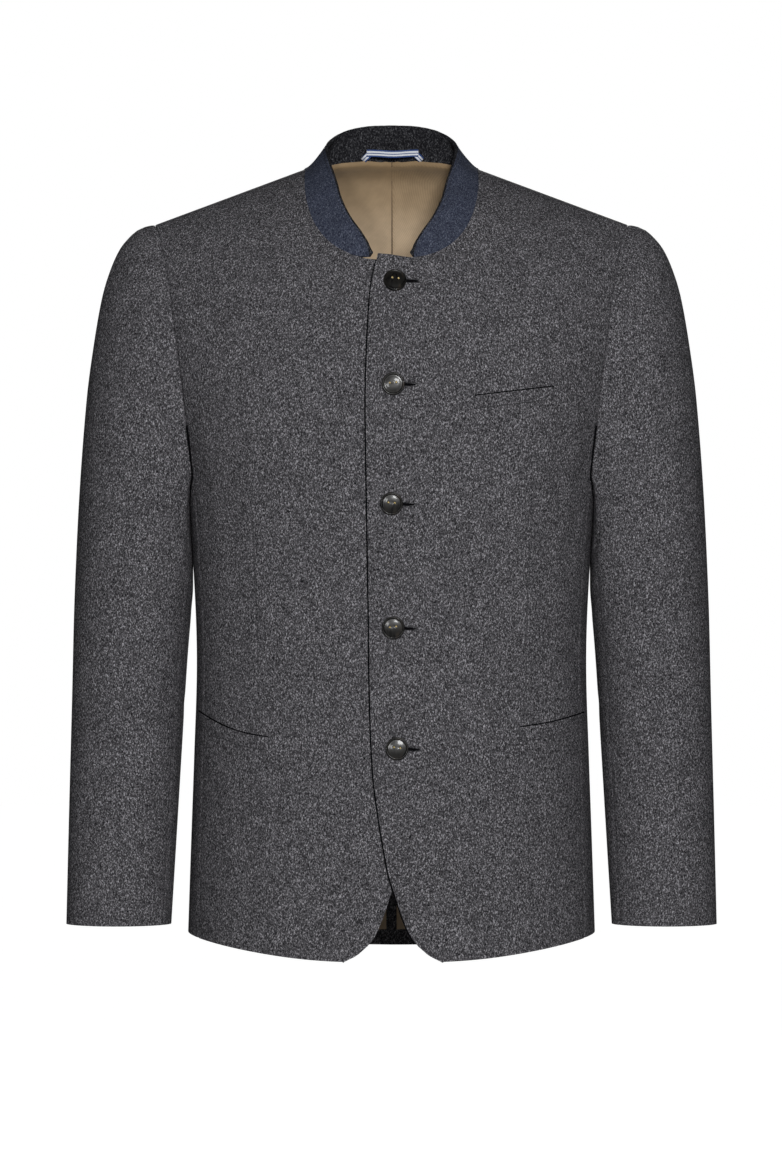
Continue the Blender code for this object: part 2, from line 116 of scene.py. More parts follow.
# z, x of the sleeve's outer fold
SLEEVE_OUT = (
    (-711, 305),
    (-596, 303),
    (-502, 301),
    (-407, 299),
    (-313, 295),
    (-219, 288),
    (-172, 282),
    (-125, 274),
    (-100, 267),
    (-77, 257),
    (-64, 246.5),
    (-56.5, 236.5),
    (-53, 224),
)
# z, x of the sleeve's inner fold
SLEEVE_IN = (
    (-711, 206.5),
    (-596, 200.3),
    (-502, 195),
    (-457, 192.2),
    (-410, 188.8),
    (-390, 188),
    (-367, 188.9),
    (-343, 191.2),
    (-320, 193.5),
)
# share of the way down, half depth, how far the middle lies in front
SLEEVE_DEPTH = (
    (0, 78, 0),
    (0.2, 71, -2),
    (0.5, 61, 0),
    (0.75, 53, 10),
    (1, 46, 28),
)
FRONT_SLEEVE_SEAM = 150.0
BACK_SLEEVE_SEAM = 262.0
SLEEVE_LONG = 650.0
SLEEVE_HEAD = 0.45           # share of the way down over which the head eases into the sleeve
TURN_IN = 2.8                # how far the sleeve's head turns in under the armhole's edge
# share of the way, x, y, z of the collar's free edge on one side
COLLAR_TOP = (
    (0, 20.5, -103, -87),
    (0.05, 23, -100, -78.5),
    (0.13, 29.5, -94, -67),
    (0.24, 39.5, -83, -52),
    (0.34, 48, -67, -34),
    (0.43, 53.5, -47, -14),
    (0.50, 59.5, -25, 4),
    (0.58, 62.5, -2, 18.5),
    (0.68, 57, 18, 28.5),
    (0.80, 43, 32, 36.5),
    (0.90, 23, 40, 41),
    (1, 0, 42.5, 42.5),
)
COLLAR_FRONT_X = 21.0
COLLAR_CLOTH = 1.6
COLLAR_HIGH = 33.0
COLLAR_HALF_LONG = 240.0

# z, x of each button
BUTTONS = ((-113, 3.2), (-209, 1.5), (-319, 0), (-433, 1.5), (-544, 5))
BUTTON_R = 10.6

VENT_TOP = -500.0
VENT_LAP = 34.0
LINING_IN = 5.6
LINING_HEM = 15.0

# Soft creases pressed or worn into the body. turn 0 is the centre front and 180 the centre back.
# turn, z, half length, half width, depth, lean
BODY_CREASES = (
    (47, -405, 130, 15, 1.1, 0.02),
    (28, -250, 90, 22, 0.8, -0.10),
    (62, -330, 80, 12, 1, 0.12),
    (40, -640, 85, 20, 0.9, 0.05),
    (12, -610, 70, 16, 0.6, 0),
    (150, -455, 70, 9, 1.6, 0.30),
    (163, -430, 55, 8, 1.2, 0.45),
    (128, -330, 95, 11, 1.8, -0.08),
    (140, -620, 90, 17, 1.3, 0.04),
    (168, -230, 100, 20, 1, 0),
)
# round, share down, half width in degrees, half length in shares, depth, lean
SLEEVE_CREASES = (
    (150, 0.14, 34, 0.020, 1.8, 0.0009),
    (140, 0.22, 42, 0.018, 1.4, 0.0006),
    (120, 0.47, 50, 0.022, 1.5, 0.0005),
    (95, 0.53, 60, 0.020, 1.1, -0.0004),
    (75, 0.60, 46, 0.026, 0.9, 0.0006),
    (230, 0.45, 50, 0.020, 1.6, -0.0005),
    (245, 0.17, 40, 0.024, 1.8, -0.0009),
    (20, 0.35, 16, 0.150, 0.9, 0),
    (330, 0.62, 16, 0.170, 0.9, 0),
)


def read(table, at, column):
    """A smooth value from a table whose first column is its place."""
    rows = sorted(table)
    at = min(max(at, rows[0][0]), rows[-1][0])
    last = len(rows) - 1
    i = min(max(sum(row[0] <= at for row in rows) - 1, 0), last - 1)
    x0, x1 = rows[i][0], rows[i + 1][0]
    v0, v1 = rows[i][column], rows[i + 1][column]

    def slope(k):
        a, b = rows[max(k - 1, 0)], rows[min(k + 1, last)]
        return (b[column] - a[column]) / (b[0] - a[0])

    span = x1 - x0
    t = (at - x0) / span
    m0, m1 = slope(i) * span, slope(i + 1) * span
    return ((2 * t**3 - 3 * t**2 + 1) * v0 + (t**3 - 2 * t**2 + t) * m0
            + (3 * t**2 - 2 * t**3) * v1 + (t**3 - t**2) * m1)


def clamp(value, low=0.0, high=1.0):
    return min(max(value, low), high)


def smooth(value):
    t = clamp(value)
    return t * t * (3 - 2 * t)


def shoulder_z(x):
    return -SHOULDER_SLOPE * (abs(x) - NECK_X)


def power(value, exponent):
    return abs(value) ** exponent * (1 if value >= 0 else -1)


def body_point(turn, z):
    """The body's surface `turn` degrees round from the centre front, drawn in at the shoulders."""
    a = radians(turn)
    x = read(BODY, z, 1) * power(sin(a), 2 / BODY_POWER)
    in_front = cos(a) >= 0
    depth = read(BODY, z, 2 if in_front else 3)
    ring_y = -depth * power(cos(a), 2 / BODY_POWER)
    reach, bow = (230.0, 1.7) if in_front else (170.0, 1.8)
    drop = clamp((shoulder_z(x) - z) / reach)
    full = (1 - (1 - drop) ** bow) ** (1 / bow)
    return Vector((x, SEAM_Y * (1 - full) + ring_y * full, z))


def body_normal(turn, z):
    around = body_point(turn + 0.5, z) - body_point(turn - 0.5, z)
    up = body_point(turn, z) - body_point(turn, z - 2.0)
    return around.cross(up).normalized()


def turn_at(x, z):
    """Degrees round the front of the body at which it reaches x."""
    share = min(abs(x) / read(BODY, z, 1), 1.0)
    return degrees(asin(share ** (BODY_POWER / 2))) * (1 if x >= 0 else -1)


def neck_z(x):
    share = min(abs(x) / NECK_X, 1.0)
    return -NECK_DROP * (1 - share**NECK_POWER) ** (1 / NECK_POWER)


def back_neck_z(x):
    return NECK_RISE * (1 - min(abs(x) / NECK_X, 1.0) ** 2)


def front_top(x):
    return neck_z(x) if abs(x) < NECK_X else shoulder_z(x)


def back_top(x):
    return back_neck_z(x) if abs(x) < NECK_X else shoulder_z(x)


def hem_z(turn):
    """The hem dips towards the centre front and back."""
    return -(HEM_SIDE + HEM_EXTRA * cos(radians(turn)) ** 2)


def top_of(turn_of, top_at):
    """The level where a panel's column meets its upper outline."""
    low, high = -140.0, 40.0
    for _ in range(26):
        z = (low + high) / 2
        if z < top_at(body_point(turn_of(z), z).x):
            low = z
        else:
            high = z
    return low


def side_turns(z):
    """Where the front and back side seams lie round the body."""
    level = max(z, ARMHOLE_Z)
    front = turn_at(read(ARMHOLE, level, 1), level)
    back = 180 - turn_at(read(ARMHOLE, level, 2), level)
    below = clamp((ARMHOLE_Z - z) / 400.0)
    return front - 4.0 * below, back + 6.0 * below


def trough(along, across, half_length, half_width):
    """A soft trough's share of its full depth."""
    return exp(-((across / half_width) ** 2)) * smooth(1.4 - abs(along) / half_length)


def body_crease(turn, z):
    depth = 0.0
    radius = read(BODY, z, 1)
    for at, level, half_length, half_width, deep, lean in BODY_CREASES:
        along = z - level
        if abs(along) < 1.4 * half_length:
            across = radians(turn - at) * radius * 0.85 - lean * along
            depth += deep * trough(along, across, half_length, half_width)
    return depth


# ---- making meshes

def shares(length, fine, step, both=True):
    """Places from 0 to 1 along a length: close together at its ends, and evenly between."""
    start = [d for d in fine if d < length / 3]
    inner = length - (2 if both else 1) * start[-1]
    count = max(int(round(inner / step)), 2)
    places = start + [start[-1] + inner * k / count for k in range(1, count)]
    if both:
        places += [length - d for d in reversed(start)]
    else:
        places.append(length)
    return [p / length for p in places]


EDGE_STEPS = (0.0, 0.8, 1.8, 3.0, 4.4, 7.0)


def link(obj):
    bpy.context.scene.collection.objects.link(obj)
    return obj


def select_only(*pieces):
    """Selects these pieces and makes the first one active."""
    bpy.ops.object.select_all(action="DESELECT")
    for piece in pieces:
        piece.select_set(True)
    bpy.context.view_layer.objects.active = pieces[0]


def apply_modifiers(obj):
    select_only(obj)
    for modifier in list(obj.modifiers):
        bpy.ops.object.modifier_apply(modifier=modifier.name)


def add_wall(obj, thick):
    """Gives a sheet its thickness, inwards from the face that shows."""
    solid = obj.modifiers.new("wall", "SOLIDIFY")
    solid.thickness = thick * MM
    solid.offset = -1


def add_rounding(obj, width, segments, angle=None):
    """Rounds the edges, or only those that turn by more than `angle` degrees."""
    bevel = obj.modifiers.new("rounding", "BEVEL")
    bevel.width = width * MM
    bevel.segments = segments
    if angle:
        bevel.limit_method = "ANGLE"
        bevel.angle_limit = radians(angle)


def grid_object(name, grid, finish):
    """An open sheet through a grid of points in mm, with a UV map in metres along the cloth."""
    columns, rows = len(grid), len(grid[0])
    bm = bmesh.new()
    uv = bm.loops.layers.uv.new("cut")
    verts = [[bm.verts.new(p * MM) for p in column] for column in grid]
    across = [0.0]
    middle = rows // 2
    for c in range(1, columns):
        across.append(across[-1] + (grid[c][middle] - grid[c - 1][middle]).length * MM)
    along = []
    for column in grid:
        along.append([0.0])
        for r in range(1, rows):
            along[-1].append(along[-1][-1] + (column[r] - column[r - 1]).length * MM)
    for c in range(columns - 1):
        for r in range(rows - 1):
            corners = ((c, r), (c + 1, r), (c + 1, r + 1), (c, r + 1))
            face = bm.faces.new([verts[i][j] for i, j in corners])
            face.smooth = True
            for loop, (i, j) in zip(face.loops, corners):
                loop[uv].uv = (across[i], along[i][j])
    mesh = bpy.data.meshes.new(name)
    bm.to_mesh(mesh)
    bm.free()
    mesh.materials.append(finish)
    return link(bpy.data.objects.new(name, mesh))


def outward(obj, inner_point):
    """Turns the sheet so that its faces look away from the given inner point."""
    mesh = obj.data
    face = mesh.polygons[len(mesh.polygons) // 2]
    if face.normal.dot(face.center - Vector(inner_point) * MM) < 0:
        mesh.flip_normals()


LEAST_FLAT = 0.0101          # the narrowest flat side that a sheet may state
LEAST_FILL = 0.31            # the least share of its flat rectangle that a curved strip fills


def flat_area(grid):
    """Area of the cloth in square metres."""
    total = 0.0
    for a, b in zip(grid, grid[1:]):
        for r in range(len(a) - 1):
            total += ((a[r + 1] - a[r]).cross(b[r] - a[r]).length
                      + (a[r + 1] - b[r + 1]).cross(b[r] - b[r + 1]).length) / 2
    return total * MM * MM


def finish_piece(obj, node=None):
    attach(obj, "root")
    if node:
        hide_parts(node)
    return obj


def cloth(name, node, grid, thick, finish, inside, turned=0.55):
    """A cloth shell in place of a node: its outer face is the grid, and its edges are turned."""
    obj = grid_object(name, grid, finish)
    outward(obj, inside)
    add_wall(obj, thick)
    add_rounding(obj, turned, 3, 55)
    apply_modifiers(obj)
    obj.data.shade_smooth()
    finish_piece(obj, node)
    widths = [sum((b[r] - a[r]).length for a, b in zip(grid, grid[1:])) for r in range(len(grid[0]))]
    lengths = [sum((b - a).length for a, b in zip(column, column[1:])) for column in grid]
    width, length = max(widths) * MM, max(lengths) * MM
    area = clamp(flat_area(grid), LEAST_FILL * width * length, width * length)
    max(width, LEAST_FLAT)
    max(length, LEAST_FLAT)


def mirrored(grid):
    return [[Vector((-p.x, p.y, p.z)) for p in column] for column in grid]


def cloth_pair(name, grids, thick, finish, slot, inside, turned=0.55):
    """A left piece and a right one, both given as they would lie on the wearer's left."""
    x, y, z = inside
    left, right = grids
    for side, grid, middle in (("left", left, (x, y, z)), ("right", mirrored(right), (-x, y, z))):
        cloth(f"{slot}_{name}_{side}", f"{name}_{side}", grid, thick, finish, middle, turned)


# ---- finishes

def new_group(name, inputs, outputs):
    group = bpy.data.node_groups.new(name, "ShaderNodeTree")
    for label, kind, value in inputs:
        socket = group.interface.new_socket(label, in_out="INPUT", socket_type=kind)
        socket.default_value = value
    for label, kind in outputs:
        group.interface.new_socket(label, in_out="OUTPUT", socket_type=kind)
    source = group.nodes.new("NodeGroupInput")
    sink = group.nodes.new("NodeGroupOutput")
    return group, source, sink


def set_inputs(tree, node, values):
    """Sets or links a node's inputs by name, with _ for a space."""
    for key, value in values.items():
        socket = node.inputs[key.replace("_", " ")]
        if isinstance(value, bpy.types.NodeSocket):
            tree.links.new(value, socket)
        else:
            socket.default_value = value


def add_node(tree, kind, **values):
    """A node with its plain properties and its inputs set by name."""
    node = tree.nodes.new(kind)
    for key in [key for key in values if hasattr(node, key)]:
        setattr(node, key, values.pop(key))
    set_inputs(tree, node, values)
    return node


def object_place(tree):
    return tree.nodes.new("ShaderNodeTexCoord").outputs["Object"]


def maths(tree, operation, a, b):
    node = tree.nodes.new("ShaderNodeMath")
    node.operation = operation
    for socket, value in zip(node.inputs, (a, b)):
        if isinstance(value, (int, float)):
            socket.default_value = value
        else:
            tree.links.new(value, socket)
    return node.outputs[0]


def ramp(tree, factor, stops, smooth_between=True):
    node = tree.nodes.new("ShaderNodeValToRGB")
    node.color_ramp.interpolation = "EASE" if smooth_between else "CONSTANT"
    elements = node.color_ramp.elements
    while len(elements) < len(stops):
        elements.new(0.5)
    for element, (place, value) in zip(elements, stops):
        element.position = place
        element.color = (value, value, value, 1) if isinstance(value, (int, float)) else (*value, 1)
    tree.links.new(factor, node.inputs[0])
    return node.outputs[0]


def mix(tree, factor, a, b, blend="MIX"):
    node = tree.nodes.new("ShaderNodeMix")
    node.data_type = "RGBA"
    node.blend_type = blend
    for socket, value in ((node.inputs[0], factor), (node.inputs[6], a), (node.inputs[7], b)):
        if isinstance(value, (int, float)):
            socket.default_value = value
        elif isinstance(value, tuple):
            socket.default_value = (*value, 1)
        else:
            tree.links.new(value, socket)
    return node.outputs[2]


def melange_group():
    """Wool dyed in the fibre: short matted flecks of three tones that lean to one side."""
    group, source, sink = new_group(
        "melange",
        (
            ("Dark", "NodeSocketColor", (0, 0, 0, 1)),
            ("Middle", "NodeSocketColor", (0.1, 0.1, 0.1, 1)),
            ("Light", "NodeSocketColor", (0.3, 0.3, 0.3, 1)),
            ("Fleck", "NodeSocketFloat", 430.0),
        ),
        (("Colour", "NodeSocketColor"), ("Height", "NodeSocketFloat")),
    )
    place = object_place(group)

    def flecks(turn, squeeze, factor, detail):
        mapping = add_node(group, "ShaderNodeMapping", Vector=place,
                           Rotation=(0.3, radians(turn), 0.2), Scale=(1.0, 1.0, squeeze))
        noise = add_node(group, "ShaderNodeTexNoise", Vector=mapping.outputs[0],
                         Detail=detail, Roughness=0.6, Distortion=0.6)
        scale = maths(group, "MULTIPLY", source.outputs["Fleck"], factor)
        group.links.new(scale, noise.inputs["Scale"])
        return noise.outputs["Fac"]

    leaning = flecks(38, 0.66, 1.0, 2.0)
    crossing = flecks(-42, 0.7, 1.3, 2.0)
    fine = flecks(10, 0.8, 3.1, 1.0)
    cloud = flecks(0, 1.0, 0.07, 3.0)
    body = maths(group, "MULTIPLY", leaning, 0.55)
    for layer, weight in ((crossing, 0.30), (fine, 0.15)):
        body = maths(group, "ADD", body, maths(group, "MULTIPLY", layer, weight))
    lighter = ramp(group, body, ((0.50, 0.0), (0.65, 1.0)))
    darker = ramp(group, body, ((0.38, 1.0), (0.50, 0.0)))
    colour = mix(group, lighter, source.outputs["Middle"], source.outputs["Light"])
    colour = mix(group, darker, colour, source.outputs["Dark"])
    colour = mix(group, 1.0, colour, ramp(group, cloud, ((0.3, 0.90), (0.7, 1.08))), "MULTIPLY")
    group.links.new(colour, sink.inputs["Colour"])
    group.links.new(body, sink.inputs["Height"])
    return group


def new_material(name, **values):
    """A material, its tree and its shader, with the shader's inputs set by name."""
    material = bpy.data.materials.new(name)
    material.use_nodes = True
    tree = material.node_tree
    shader = tree.nodes["Principled BSDF"]
    set_inputs(tree, shader, values)
    return material, tree, shader


def add_bump(tree, shader, height, distance):
    bump = add_node(tree, "ShaderNodeBump", Strength=1.0, Distance=distance, Height=height)
    tree.links.new(bump.outputs[0], shader.inputs["Normal"])


def wool(name, dark, middle, light, fleck, nap):
    """Felted wool in three tones, with `fleck` flecks to a metre and a nap of `nap` metres."""
    material, tree, shader = new_material(name, Roughness=0.95, Specular_IOR_Level=0.12)
    group = tree.nodes.new("ShaderNodeGroup")
    group.node_tree = MELANGE
    tones = {"Dark": (*dark, 1), "Middle": (*middle, 1), "Light": (*light, 1)}
    set_inputs(tree, group, {**tones, "Fleck": fleck})
    tree.links.new(group.outputs["Colour"], shader.inputs["Base Color"])
    add_bump(tree, shader, group.outputs["Height"], nap)
    return material


def twill_finish():
    """Fine diagonal wale lines with slight yarn irregularity and a dull satin gloss, and painted shade that
    darkens the lining towards its top, under the collar.
    """
    material, tree, shader = new_material("twill_lining", Roughness=0.62, Sheen_Weight=0.15)
    place = object_place(tree)
    wale = add_node(tree, "ShaderNodeTexWave", Vector=place, bands_direction="DIAGONAL",
                    Scale=420.0, Distortion=0.8)
    slub = add_node(tree, "ShaderNodeTexNoise", Vector=place, Scale=90.0, Detail=3.0)
    wales_and_shade = ramp(tree, wale.outputs["Fac"], ((0.2, (0.58, 0.435, 0.285)), (0.8, (0.66, 0.50, 0.335))))
    split = tree.nodes.new("ShaderNodeSeparateXYZ")
    tree.links.new(place, split.inputs[0])
    # Painted shade: the colour darkens towards the lining's top, where the collar shades it.
    down = maths(tree, "MULTIPLY", split.outputs[2], -8.0)
    painted_shade_under_collar = ((0.0, (0.50, 0.45, 0.36)), (0.12, (0.74, 0.70, 0.63)), (0.5, (1.0, 1.0, 1.0)))
    wales_and_shade = mix(tree, 1.0, wales_and_shade, ramp(tree, down, painted_shade_under_collar), "MULTIPLY")
    shade = ramp(tree, slub.outputs["Fac"], ((0.3, 0.94), (0.7, 1.05)))
    tree.links.new(mix(tree, 1.0, wales_and_shade, shade, "MULTIPLY"), shader.inputs["Base Color"])
    add_bump(tree, shader, wale.outputs["Fac"], 0.00004)
    return material


TAPE_WIDE = 6.8


def tape_finish():
    """Woven tape: white with blue bands along it and a rib across."""
    material, tree, shader = new_material("striped_tape", Roughness=0.8)
    uv = add_node(tree, "ShaderNodeUVMap", uv_map="cut").outputs[0]
    split = tree.nodes.new("ShaderNodeSeparateXYZ")
    tree.links.new(uv, split.inputs[0])
    across = maths(tree, "DIVIDE", split.outputs[1], TAPE_WIDE * MM)
    blue, white = (0.03, 0.07, 0.22), (0.74, 0.76, 0.80)
    stripes = ((0.0, blue), (0.20, white), (0.43, blue), (0.55, white), (0.80, blue))
    colour = ramp(tree, across, stripes, smooth_between=False)
    rib = maths(tree, "SINE", maths(tree, "MULTIPLY", split.outputs[0], 9000.0), 0.0)
    rib = maths(tree, "MULTIPLY_ADD", rib, 0.5)
    tree.links.new(colour, shader.inputs["Base Color"])
    add_bump(tree, shader, rib, 0.00008)
    return material


def horn_finish():
    """Polished dark horn: near black with a brown heart and faint streaks."""
    material, tree, shader = new_material("dark_horn", Specular_IOR_Level=0.16, Coat_Weight=0.12,
                                          Coat_Roughness=0.08)
    mapping = add_node(tree, "ShaderNodeMapping", Vector=object_place(tree),
                       Rotation=(0, 0.7, 0), Scale=(1.0, 1.0, 0.25))
    streak = add_node(tree, "ShaderNodeTexNoise", Vector=mapping.outputs[0],
                      Scale=260.0, Detail=4.0, Distortion=0.8).outputs["Fac"]
    tones = ((0.35, (0.005, 0.005, 0.005)), (0.55, (0.012, 0.011, 0.010)), (0.75, (0.030, 0.022, 0.016)))
    tree.links.new(ramp(tree, streak, tones), shader.inputs["Base Color"])
    tree.links.new(ramp(tree, streak, ((0.3, 0.26), (0.8, 0.38))), shader.inputs["Roughness"])
    return material


def thread_finish(name, colour, shine=0.5):
    """Twisted sewing thread: one colour with a fine spiral of light and dark plies."""
    material, tree, shader = new_material(name, Roughness=0.7, Specular_IOR_Level=shine)
    ply = add_node(tree, "ShaderNodeTexWave", Vector=object_place(tree), bands_direction="DIAGONAL",
                   Scale=900.0)
    plies = ((0.2, tuple(0.6 * c for c in colour)), (0.8, colour))
    tree.links.new(ramp(tree, ply.outputs["Fac"], plies), shader.inputs["Base Color"])
    return material


MELANGE = melange_group()
LODEN = wool("charcoal_loden", (0.006, 0.006, 0.007), (0.066, 0.064, 0.070), (0.440, 0.430, 0.460),
             850.0, 0.00025)
DARK_LODEN = wool("collar_loden", (0.003, 0.003, 0.004), (0.014, 0.014, 0.017), (0.120, 0.122, 0.130),
                  850.0, 0.00025)
NAVY = wool("navy_felt", (0.014, 0.016, 0.030), (0.046, 0.054, 0.083), (0.160, 0.178, 0.235),
            900.0, 0.00014)
TWILL = twill_finish()
TAPE = tape_finish()
HORN = horn_finish()
DARK_THREAD = thread_finish("dark_thread", (0.020, 0.020, 0.024))
TAN_THREAD = thread_finish("tan_thread", (0.98, 0.76, 0.34))
BROWN_THREAD = thread_finish("brown_thread", (0.06, 0.038, 0.020))
# Painted shadow: a near black finish without gloss, for the tubes and strips that stand in for shade in
# folds, gaps and slits.
SHADOW = thread_finish("painted_shadow", (0.006, 0.006, 0.007), shine=0.0)


# ---- body panels

DART_SHARE = 0.586           # how far across the front the dart lies
DART = (-520.0, -288.0)      # lowest and highest z of the front darts
SEAM_DIP = 0.7
NECK_COLUMNS = 22
EDGE_GROOVE = 0.45           # depth of the line that stitching presses beside the front edge
NOTCH_RISE = 4.6             # how far the lapping front's corner stands above its collar end
# width and length of each panel, for the spacing of its columns and rows
FRONT_WIDE, FRONT_LONG = 265.0, 650.0
FRONT_MEAN_WIDE = 250.0
BACK_WIDE, BACK_LONG = 235.0, 740.0
SIDE_WIDE, SIDE_LONG = 88.0, 420.0
HEM_LEVEL = -735.0           # the level at which a panel's place round the body is read for its hem


def seam_dip(distance):
    """Cloth sinks towards a seam line."""
    return SEAM_DIP * exp(-((distance / 2.2) ** 2))


def dart_dip(share, z):
    low, high = DART
    fade = smooth((z - low) / 60.0) * smooth((high - z) / 40.0)
    return fade * exp(-(((share - DART_SHARE) * FRONT_MEAN_WIDE / 1.5) ** 2))


def between(ends_at, share):
    """A panel's place round the body at each level, `share` of the way from its first edge."""
    def turn_of(z):
        first, last = ends_at(z)
        return first + (last - first) * share

    return turn_of


def panel_place(turn, z, at_top):
    """A body point and its outward normal, which stays upright across the shoulder seam."""
    point, normal = body_point(turn, z), body_normal(turn, z)
    if at_top and point.x > NECK_X - 2:
        normal = Vector((normal.x, 0, normal.z)).normalized()
    return point, normal


def shoulder_dip(point, distance):
    return seam_dip(distance) if point.x > NECK_X - 2 else 0.0


def front_ends(under):
    """Where a front's free edge and side seam lie round the body at each level."""
    shift = 2 * LAP_MIDDLE if under else 0.0
    return lambda z: (turn_at(read(FRONT_EDGE, z, 1) - shift, z), side_turns(z)[0])


def front_shares(ends_at):
    """Columns of a front: close at its edges, exact at the neckline's corner, and along the dart."""
    found = [d / FRONT_WIDE for d in EDGE_STEPS]
    for k in range(1, NECK_COLUMNS + 1):
        x = NECK_X * sin(radians(90 * k / NECK_COLUMNS)) ** (2 / NECK_POWER)
        first, last = ends_at(neck_z(x))
        found.append((turn_at(x, neck_z(x)) - first) / (last - first))
    corner = found[-1]
    found += [corner + (1 - corner) * k / 34 for k in range(1, 34)]
    found += [DART_SHARE + d / FRONT_WIDE for d in (-5, -3.4, -2.2, -1.2, 0, 1.2, 2.2, 3.4, 5)]
    found += [1 - d / FRONT_WIDE for d in EDGE_STEPS]
    kept = []
    for share in sorted(found):
        if not kept or share - kept[-1] >= 0.0024:
            kept.append(share)
        elif share == corner:
            kept[-1] = corner
    kept[-1] = 1.0
    return kept


def front_grid(under):
    ends_at = front_ends(under)
    grid = []
    for share in front_shares(ends_at):
        turn_of = between(ends_at, share)
        low, high = hem_z(turn_of(HEM_LEVEL)), top_of(turn_of, front_top)
        if not under:
            inside = COLLAR_FRONT_X + 2.0 - body_point(turn_of(high), high).x
            high += NOTCH_RISE * smooth(inside / 36.0) ** 0.8
        grid.append([])
        for place in shares(FRONT_LONG, EDGE_STEPS, 7.5):
            z = low + (high - low) * place
            turn = turn_of(z)
            point, normal = panel_place(turn, z, place == 1.0)
            lap = smooth((45.0 - point.x) / 20.0) if under else 0.0
            sink = lap * (CLOTH + LAP_CLEAR) + body_crease(turn, z)
            sink += seam_dip((1 - share) * FRONT_MEAN_WIDE) + dart_dip(share, z)
            sink += EDGE_GROOVE * exp(-((share * FRONT_MEAN_WIDE - 3.0) / 0.9) ** 2)
            sink += shoulder_dip(point, (1 - place) * FRONT_LONG)
            grid[-1].append(point - normal * sink)
    return grid


def back_ends(laps_under, vent_gap):
    """Where a back's side seam and centre edge lie: the lap crosses the middle below the vent's top."""
    def ends_at(z):
        past_middle = VENT_LAP if laps_under else -vent_gap
        middle = -past_middle * clamp((VENT_TOP - z) / 10.0)
        return side_turns(z)[1], 180 - degrees(asin(power(middle / read(BODY, z, 1), BODY_POWER / 2)))

    return ends_at


def back_grid(laps_under, inward=0.0, hem_lift=0.0, vent_gap=0.0, step=8.0):
    ends_at = back_ends(laps_under, vent_gap)
    grid = []
    for share in shares(BACK_WIDE, EDGE_STEPS, step):
        turn_of = between(ends_at, share)
        low, high = hem_z(turn_of(HEM_LEVEL)) + hem_lift, top_of(turn_of, back_top)
        grid.append([])
        for place in shares(BACK_LONG, EDGE_STEPS, step):
            z = low + (high - low) * place
            turn = turn_of(z)
            point, normal = panel_place(turn, z, place == 1.0)
            sink = inward
            if not inward:
                sink += body_crease(turn, z) + seam_dip(share * BACK_WIDE)
                if z > VENT_TOP:
                    sink += seam_dip((1 - share) * BACK_WIDE)
                sink += shoulder_dip(point, (1 - place) * BACK_LONG)
            if laps_under:
                lap = clamp((16.0 - point.x) / 14.0)
                sink += (CLOTH + LAP_CLEAR) * lap * clamp((VENT_TOP + 60.0 - z) / 40.0)
            grid[-1].append(point - normal * sink)
    return grid


def side_grid():
    grid = []
    for share in shares(SIDE_WIDE, EDGE_STEPS, 7.0):
        turn_of = between(side_turns, share)
        low = hem_z(turn_of(HEM_LEVEL + 10.0))
        high = ARMHOLE_Z - ARMHOLE_DIP * sin(pi * share)
        grid.append([])
        for place in shares(SIDE_LONG, EDGE_STEPS, 8.0):
            z = low + (high - low) * place
            turn = turn_of(z)
            sink = body_crease(turn, z) + seam_dip((1 - place) * SIDE_LONG)
            sink += seam_dip(share * SIDE_WIDE) + seam_dip((1 - share) * SIDE_WIDE)
            grid[-1].append(body_point(turn, z) - body_normal(turn, z) * sink)
    return grid


BODY_MIDDLE = (0.0, 0.0, -330.0)


def add_body():
    side, lining = side_grid(), lining_grid()
    for name, grids in (
        ("front", (front_grid(False), front_grid(True))),
        ("back", (back_grid(False), back_grid(True))),
        ("side", (side, side)),
    ):
        cloth_pair(name, grids, CLOTH, LODEN, "loden", BODY_MIDDLE)
    cloth_pair("lining", (lining, lining), LINING, TWILL, "twill", BODY_MIDDLE, turned=0.25)


def lining_grid():
    """Half of the back lining, up to the collar seam."""
    return felled_top(pleated(back_grid(False, LINING_IN, LINING_HEM, vent_gap=5.0, step=9.0)))


def pleated(grid):
    """Presses a narrow ease pleat into the lining beside its centre seam."""
    for column in grid:
        for point in column:
            fold = exp(-(((abs(point.x) - 4.0) / 2.6) ** 2))
            point.y -= 1.3 * fold * smooth((point.z + 330.0) / 120.0)
    return grid


def felled_top(grid):
    """Brings the lining's upper edge against the collar's lower edge, slightly uneven."""
    for column in grid:
        x = column[-1].x
        if abs(x) > NECK_X - 1.5:
            continue
        share = 0.5 + degrees(acos(clamp(abs(x) / NECK_X))) / 180
        rise = -0.10 + 0.012 * sin(x * 0.31) + 0.010 * sin(x * 0.83 + 1.0)
        target = collar_point(share, rise) - collar_normal(share, 0.05) * (2 * COLLAR_CLOTH + 1.5)
        moved = target - column[-1]
        top = column[-1].z
        for point in column:
            below = top - point.z
            point += moved * smooth(1 - below / 26.0)
            upright = smooth(1.6 - below / 5.0)
            point.x += (target.x - point.x) * upright
            point.y += (target.y - point.y) * upright
    return grid


# ---- sleeves

def armhole_point(round_):
    """The armhole `round_` degrees from the shoulder seam, forwards first."""
    top, bottom = -(SHOULDER_X - NECK_X) * SHOULDER_SLOPE, ARMHOLE_Z - ARMHOLE_DIP
    z = (top + bottom) / 2 + (top - bottom) / 2 * cos(radians(round_))
    if z >= ARMHOLE_Z:
        front, back = side_turns(z)
        return body_point(front if round_ < 180 else back, z)
    half = (top - bottom) / 2
    corner = degrees(pi - asin((1 - ((ARMHOLE_Z - bottom - half) / half) ** 2) ** 0.5))
    share = (round_ - corner) / (360 - 2 * corner)
    front, back = side_turns(ARMHOLE_Z)
    level = ARMHOLE_Z - ARMHOLE_DIP * sin(pi * share)
    return body_point(front + (back - front) * share, level)


